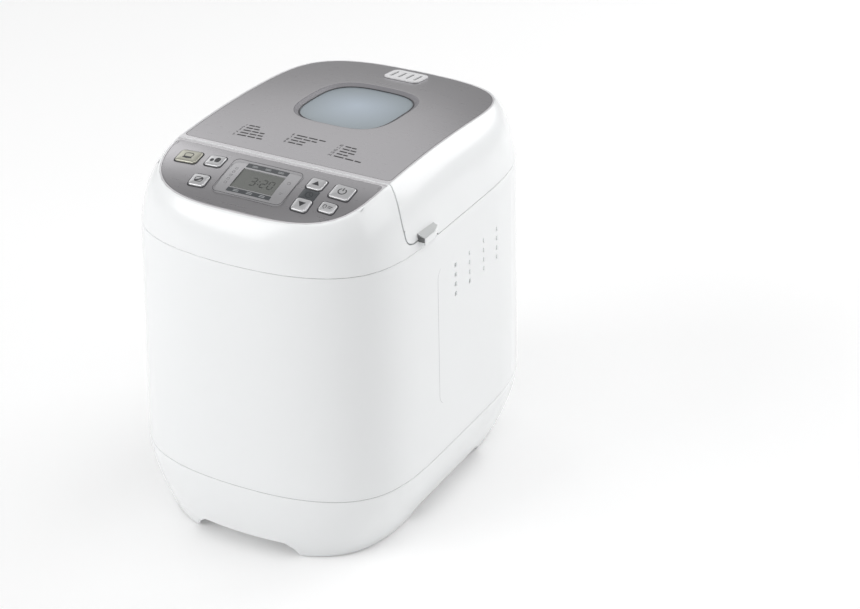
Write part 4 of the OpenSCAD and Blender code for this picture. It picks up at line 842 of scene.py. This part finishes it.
# ---- Display ----
# Grey liquid crystal glass below the panel, behind a printed cover with two dark strips of small signs.
# The cover is a pale silver film with a fine dark line round it.
film = finish_of("pale silver film", (0.50, 0.495, 0.51), 0.3, metal=0.85, drift=0.02, bump=0.004)
crystal = finish_of("grey liquid crystal", (0.115, 0.12, 0.112), 0.22, coat=0.5, drift=0.06, bump=0.004)
digit_ink = finish_of("dark crystal digits", (0.028, 0.03, 0.028), 0.3, coat=0.5)
film_w, film_l, film_r = 57, 35.5, 4.2
glass_w, glass_l, glass_y = 35, 20.3, 0.2
strips = [(17.2, 11.6, 16.4), (17.9, -14.4, -10.7)]
cuts_x = [(-s[0], s[0]) for s in strips] + [(-glass_w / 2, glass_w / 2)]
cuts_y = [s[1:] for s in strips] + [(glass_y - glass_l / 2, glass_y + glass_l / 2)]
xs = steps_between(-film_w / 2, film_w / 2, 58, cuts_x)
ys = steps_between(-film_l / 2, film_l / 2, 60, cuts_y)
corner_in = np.maximum(np.abs(ys) - (film_l / 2 - film_r), 0)
reach = film_w / 2 - film_r + np.sqrt(np.maximum(film_r ** 2 - corner_in ** 2, 0))
x = np.clip(xs, -reach[:, None], reach[:, None])
y = ys[:, None] + 0 * x
cx, cy = (xs[1:] + xs[:-1]) / 2, ((ys[1:] + ys[:-1]) / 2)[:, None]
keep = (np.abs(cx) > glass_w / 2) | (np.abs(cy - glass_y) > glass_l / 2)
keep &= np.abs(x[1:, 1:] - x[1:, :-1]) + np.abs(x[:-1, 1:] - x[:-1, :-1]) > 1e-6
on_strip = sum((np.abs(cx) < s[0]) & (cy > s[1]) & (cy < s[2]) for s in strips).astype(int)
cover = sheet(x, display_y + y, panel_top(x, display_y + y) + 0.06, keep=keep, paint=on_strip)
piece("display_cover", [cover], [film, block], "machine", thick=0.7)
line = outline_ring(film_w, film_l, film_r, 0.2, 0.12, 0, display_y)
piece("display_line", [line], [dark_slot], "machine")

# Seven bars of a digit by the ends of each, in quarters of its height, and the bars lit for 0 to 9.
bars = {"a": ((-1, 2), (1, 2)), "b": ((1, 2), (1, 0)), "c": ((1, 0), (1, -2)), "d": ((-1, -2), (1, -2)),
        "e": ((-1, 0), (-1, -2)), "f": ((-1, 2), (-1, 0)), "g": ((-1, 0), (1, 0))}
lit = ["abcdef", "bc", "abged", "abgcd", "fgbc", "afgcd", "afgecd", "abc", "abcdefg", "abcdfg"]


def numeral(text, x, y, tall, line):
    """Number in seven straight bars per digit, starting at x, centred on y; a colon is two dots."""
    out = []
    for c in text:
        if c == ":":
            for v in (y - tall / 5, y + tall / 5):
                out.append(stroke([(x - line / 2, v), (x + line / 2, v)], line))
            x += tall * 0.3
            continue
        for bar in lit[int(c)]:
            ends = np.array(bars[bar]) * tall / 4 + [x + tall / 4, y]
            gap = np.sign(ends[1] - ends[0]) * line * 0.6
            out.append(stroke([ends[0] + gap, ends[1] - gap], line))
        x += tall * 0.78
    return out


on_display = lambda lift: lambda x, y: (x, display_y + y, panel_top(x, display_y + y) + lift)
tall, line, crystal_lift, print_lift = 7.6, 0.8, -0.8, 0.13
hours = []
for text, start in (("3", -5.4), (":", 0.9), ("20", 3.0)):
    hours += numeral(text, start, 0, tall, line)
hours += [stroke([(8.5, 7.6), (13, 7.6)], line), stroke([(-13, -7.6), (-9.5, -7.6)], line)]
printed("display_digits", hours, on_display(crystal_lift), digit_ink, "machine")
small = [stroke([(c - 2.2, v + s), (c + 2.2, v + s)], 0.42) for v in (14.0, -12.5) for c in (-10.5, 0.5, 11)
         for s in (-0.6, 0.6)]
printed("display_strip_signs", small, on_display(print_lift), pale_ink, "machine")
boxes = [stroke(arc(1.25, 45, 405, 5, -22.5, v), 0.3) for v in np.linspace(8.4, -7.2, 5)]
boxes += [stroke(arc(1.3, 0, 360, 20, 22.6, 5.4), 0.3), stroke([(21.4, -5.4), (23.8, -5.4)], 0.35),
          stroke([(21.4, -6.6), (23.0, -6.6)], 0.35)]
soft_ink = finish_of("soft grey print", (0.17, 0.17, 0.175), 0.5)
printed("display_side_signs", boxes, on_display(print_lift), soft_ink, "machine")

# ---- Programme lists ----
# Fourteen numbered lines printed in dark grey on the lid: the numbers, and plain bars for the wording.
# They stand in three columns of five, four and five.
list_ink = finish_of("dark grey print", (0.025, 0.024, 0.025), 0.5, bump=0.004)
line_pitch, list_rear, wide = 4.25, -38.3, (9, 11, 18, 19, 21, 24, 19, 12, 12, 9, 11, 12, 9, 22)
column_x, column_first = (-52.9, -12.2, 28.6), (0, 5, 9)
lines = []
for n, w in enumerate(wide):
    column = sum(n >= first for first in column_first) - 1
    x0, y0 = column_x[column], list_rear - line_pitch * (n - column_first[column])
    lines += numeral(str(n + 1), x0 - 2.1 * (n > 8), y0, 2.5, 0.5)
    words = np.array([0.0, 0.36, 0.42, 0.72, 0.78, 1.0] if w > 13 else [0.0, 0.5, 0.58, 1.0]) * w + x0 + 3.6
    lines += [stroke([(a, y0), (b, y0)], 1.5) for a, b in words.reshape(-1, 2)]
printed("programme_lists", lines, lambda x, y: (x, y, lid_top(x, y) - 0.05), list_ink, "lid")

# ---- Vent panel line ----
# Grey line down the front of the ventilated part of each side: painted shade along a shallow step's edge.
# It turns back at both ends in a quarter round and fades out.
# Grey for the line: painted shade along the step.
step_shade_grey = finish_of("painted shade along the vent panel's step", (0.46, 0.47, 0.48), 0.6, bump=0)
groove_y, groove_z, groove_straight, groove_r = -42, 155, 48, 9
run = np.linspace(-1, 1, 161) * (groove_straight + 1.1 * groove_r)
bend = np.maximum(np.abs(run) - groove_straight, 0) / groove_r
path_y = groove_y + groove_r * (1 - np.cos(bend))
path_z = groove_z + np.sign(run) * (np.minimum(np.abs(run), groove_straight) + groove_r * np.sin(bend))
groove_half = 0.3
half = groove_half * np.sqrt(np.maximum(1 - (run / run[-1]) ** 8, 0))
swing = np.linspace(0, 2 * np.pi, 9)[:-1, None]
ring_y = path_y + half * np.cos(swing) * np.cos(bend)
ring_z = path_z - half * np.cos(swing) * np.sin(bend) * np.sign(run)
for name, s in (("right", 1), ("left", -1)):
    x, y = body_at(s * np.interp(ring_y, half_y, half_run), ring_z, -0.03 * np.sin(swing))
    line = sheet(x, y, ring_z, over=True, flip=s > 0)
    piece("vent_panel_shade_line_" + name, [line], [step_shade_grey], "machine")

# ---- Frame, covers and grille ----
# White mouldings that stay as built: the tray, the frame round the top, the lid and its grille.
# The grille clips into the lid; dark bands under its four slots are painted shadow.


def dress(paint, *names):
    """Gives the nodes' own faces a finish."""
    for name in names:
        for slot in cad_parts[name].material_slots:
            slot.material = paint


def patterned(name, colour, second, texture, scale, roughness, cut=(0.0, 1.0), out="Fac", **rest):
    """finish_of whose tint runs from colour to second where a texture passes the cut."""
    paint = finish_of(name, colour, roughness, **rest)
    tree = paint.node_tree
    place = next(n for n in tree.nodes if n.type == "TEX_COORD")
    tint = next(n for n in tree.nodes if n.type == "MIX")
    pattern = tree.nodes.new(texture)
    pattern.inputs["Scale"].default_value = scale
    level = tree.nodes.new("ShaderNodeMapRange")
    level.inputs["From Min"].default_value, level.inputs["From Max"].default_value = cut
    tint.inputs[7].default_value = (*second, 1)
    wire(tree, place.outputs["Object"], pattern.inputs["Vector"])
    wire(tree, pattern.outputs[out], level.inputs["Value"])
    wire(tree, level.outputs[0], tint.inputs["Factor"])
    return paint


dress(gloss_white, "base_tray", "top_frame", "lid_shell")
dress(finish_of("grille white plastic", (0.70, 0.70, 0.71), 0.4, bump=0.002, grain=400), "vent_grille")
slot_xs, slot_long, slot_wide = (-10.2, -3.4, 3.4, 10.2), 6.9, 1.9
# Dark bands under the grille's slots: painted shadow.
slot_shadow_bands = [stroke([(x, grille_y - slot_long), (x, grille_y), (x, grille_y + slot_long)], slot_wide)
         for x in slot_xs]
printed("grille_slot_shadow", slot_shadow_bands, lambda x, y: (x, y, lid_top(x, y) + 0.45),
        finish_of("painted shadow under the grille slots", (0.16, 0.165, 0.17), 0.7), "lid")

# ---- Feet, inlet and screws ----
# Soft dark feet pressed into the tray, a black inlet with a fine spark-eroded grain, and zinc-plated
# screws. The pins and the clips of the heater are of the same plated steel.
rubber = finish_of("soft dark rubber", (0.04, 0.04, 0.042), 0.85, drift=0.1, bump=0.25, grain=1400)
dress(rubber, "rubber_feet")
grained = finish_of("grained black plastic", (0.022, 0.022, 0.024), 0.5, drift=0.08, bump=0.2, grain=1600)
dress(grained, "cord_inlet")
zinc = finish_of("zinc-plated steel", (0.55, 0.56, 0.58), 0.32, drift=0.06, metal=1.0, bump=0.05, grain=700)
dress(zinc, "base_screws", "lid_screws", "hinge_pins", "heater_clips")

# ---- Display parts and boards ----
# Liquid crystal lens, its dark module, and two boards of green lacquer over copper tracks.
# The motor's capacitor has a pale moulded case.
dress(crystal, "lcd_lens")
dress(finish_of("dark module", (0.05, 0.07, 0.065), 0.45, drift=0.08), "lcd_module")
lacquer = patterned("green lacquer over copper tracks", (0.02, 0.13, 0.06), (0.05, 0.22, 0.10),
                    "ShaderNodeTexBrick", 110, 0.35, coat=0.5)
dress(lacquer, "control_board", "power_board")
dress(finish_of("pale capacitor case", (0.62, 0.62, 0.60), 0.45, drift=0.04, bump=0.03), "capacitor")

# ---- Oven ----
# Chamber of aluminised steel, folded and spot-welded, round a sheathed heating element.
# The sheath darkens in patches with heat.
chamber_steel = patterned("aluminised steel", (0.44, 0.44, 0.45), (0.60, 0.60, 0.61),
                          "ShaderNodeTexVoronoi", 130, 0.36, out="Color", metal=1.0, bump=0.04, grain=500)
dress(chamber_steel, "oven_chamber", "pan_seat", "chassis_plate")
sheath = patterned("heat-darkened sheath", (0.045, 0.04, 0.04), (0.16, 0.13, 0.11), "ShaderNodeTexNoise", 60,
                   0.55, cut=(0.4, 0.7), metal=0.8, bump=0.15, grain=900)
dress(sheath, "heating_element")
dress(finish_of("bright sensor steel", (0.62, 0.62, 0.62), 0.25, metal=1.0, bump=0.03), "temp_sensor")

# ---- Bread pan and paddle ----
# Drawn aluminium with a dark non-stick coating flecked with grey; the handle is bright steel wire.
# A cast collar locks the pan in its seat, and the shaft turns in a bush of sintered bronze.
coating = patterned("flecked non-stick coating", (0.035, 0.035, 0.037), (0.20, 0.20, 0.205),
                    "ShaderNodeTexNoise", 1500, 0.42, cut=(0.62, 0.72), bump=0.08, grain=1500)
dress(coating, "bread_pan", "kneading_paddle")
bright = finish_of("bright drawn steel", (0.66, 0.66, 0.67), 0.22, drift=0.03, metal=1.0, bump=0.03,
                   grain=400, stretch=(1, 1, 0.1))
dress(bright, "pan_handle", "pan_ears", "paddle_shaft", "drive_spindle")
cast = finish_of("cast pan collar", (0.42, 0.42, 0.43), 0.5, drift=0.05, metal=0.9, bump=0.2, grain=800)
dress(cast, "pan_collar")
dress(finish_of("sintered bronze bush", (0.45, 0.30, 0.12), 0.4, drift=0.08, metal=1.0, bump=0.1), "pan_bush")

# ---- Drive ----
# Belt drive under the oven: a moulded wheel, a turned motor pulley, a ribbed belt and an open-frame motor.
# The spindle turns in a plastic bearing fixed to the chassis plate.
dress(finish_of("dark bearing plastic", (0.05, 0.05, 0.052), 0.5, drift=0.06, bump=0.08), "shaft_bearing")
dress(finish_of("natural nylon", (0.62, 0.60, 0.54), 0.45, drift=0.04, bump=0.05), "large_pulley")
turned_metal = finish_of("turned aluminium", (0.60, 0.60, 0.61), 0.3, metal=1.0, bump=0.08, grain=300,
                         stretch=(0.3, 0.3, 8))
dress(turned_metal, "motor_pulley")
dress(finish_of("belt rubber", (0.02, 0.02, 0.021), 0.75, drift=0.1, bump=0.15, grain=1800), "drive_belt")
iron = patterned("stacked motor iron", (0.16, 0.16, 0.165), (0.30, 0.30, 0.31), "ShaderNodeTexWave", 420,
                 0.45, metal=0.8, bump=0.06, stretch=(0.2, 0.2, 3))
dress(iron, "motor")

# ---- Hinge ----
# Pressed brackets on the frame and arms in the lid, of pale zinc-plated sheet. The arms turn on the
# pins, which are pressed into the brackets.
plated = patterned("pressed zinc-plated sheet", (0.46, 0.47, 0.49), (0.56, 0.57, 0.59),
                   "ShaderNodeTexVoronoi", 90, 0.38, out="Color", metal=1.0, bump=0.04, grain=500)
dress(plated, "hinge_brackets", "lid_hinge_arms")

# ---- Inside of the lid ----
# Pressed aluminium liner with a clear inner pane and a grey silicone seal.
# Four screws hold it to the lid's moulding.
liner = finish_of("pressed aluminium liner", (0.60, 0.60, 0.61), 0.33, drift=0.04, metal=1.0, bump=0.05,
                  grain=240, stretch=(0.15, 5, 5))
dress(liner, "lid_liner")
dress(finish_of("grey silicone", (0.20, 0.20, 0.205), 0.6, drift=0.06, bump=0.06), "lid_seal")
clear = finish_of("clear inner pane", (0.80, 0.86, 0.88), 0.05, drift=0.01, bump=0.002)
clear.node_tree.nodes["Principled BSDF"].inputs["Transmission Weight"].default_value = 0.85
dress(clear, "inner_glass")
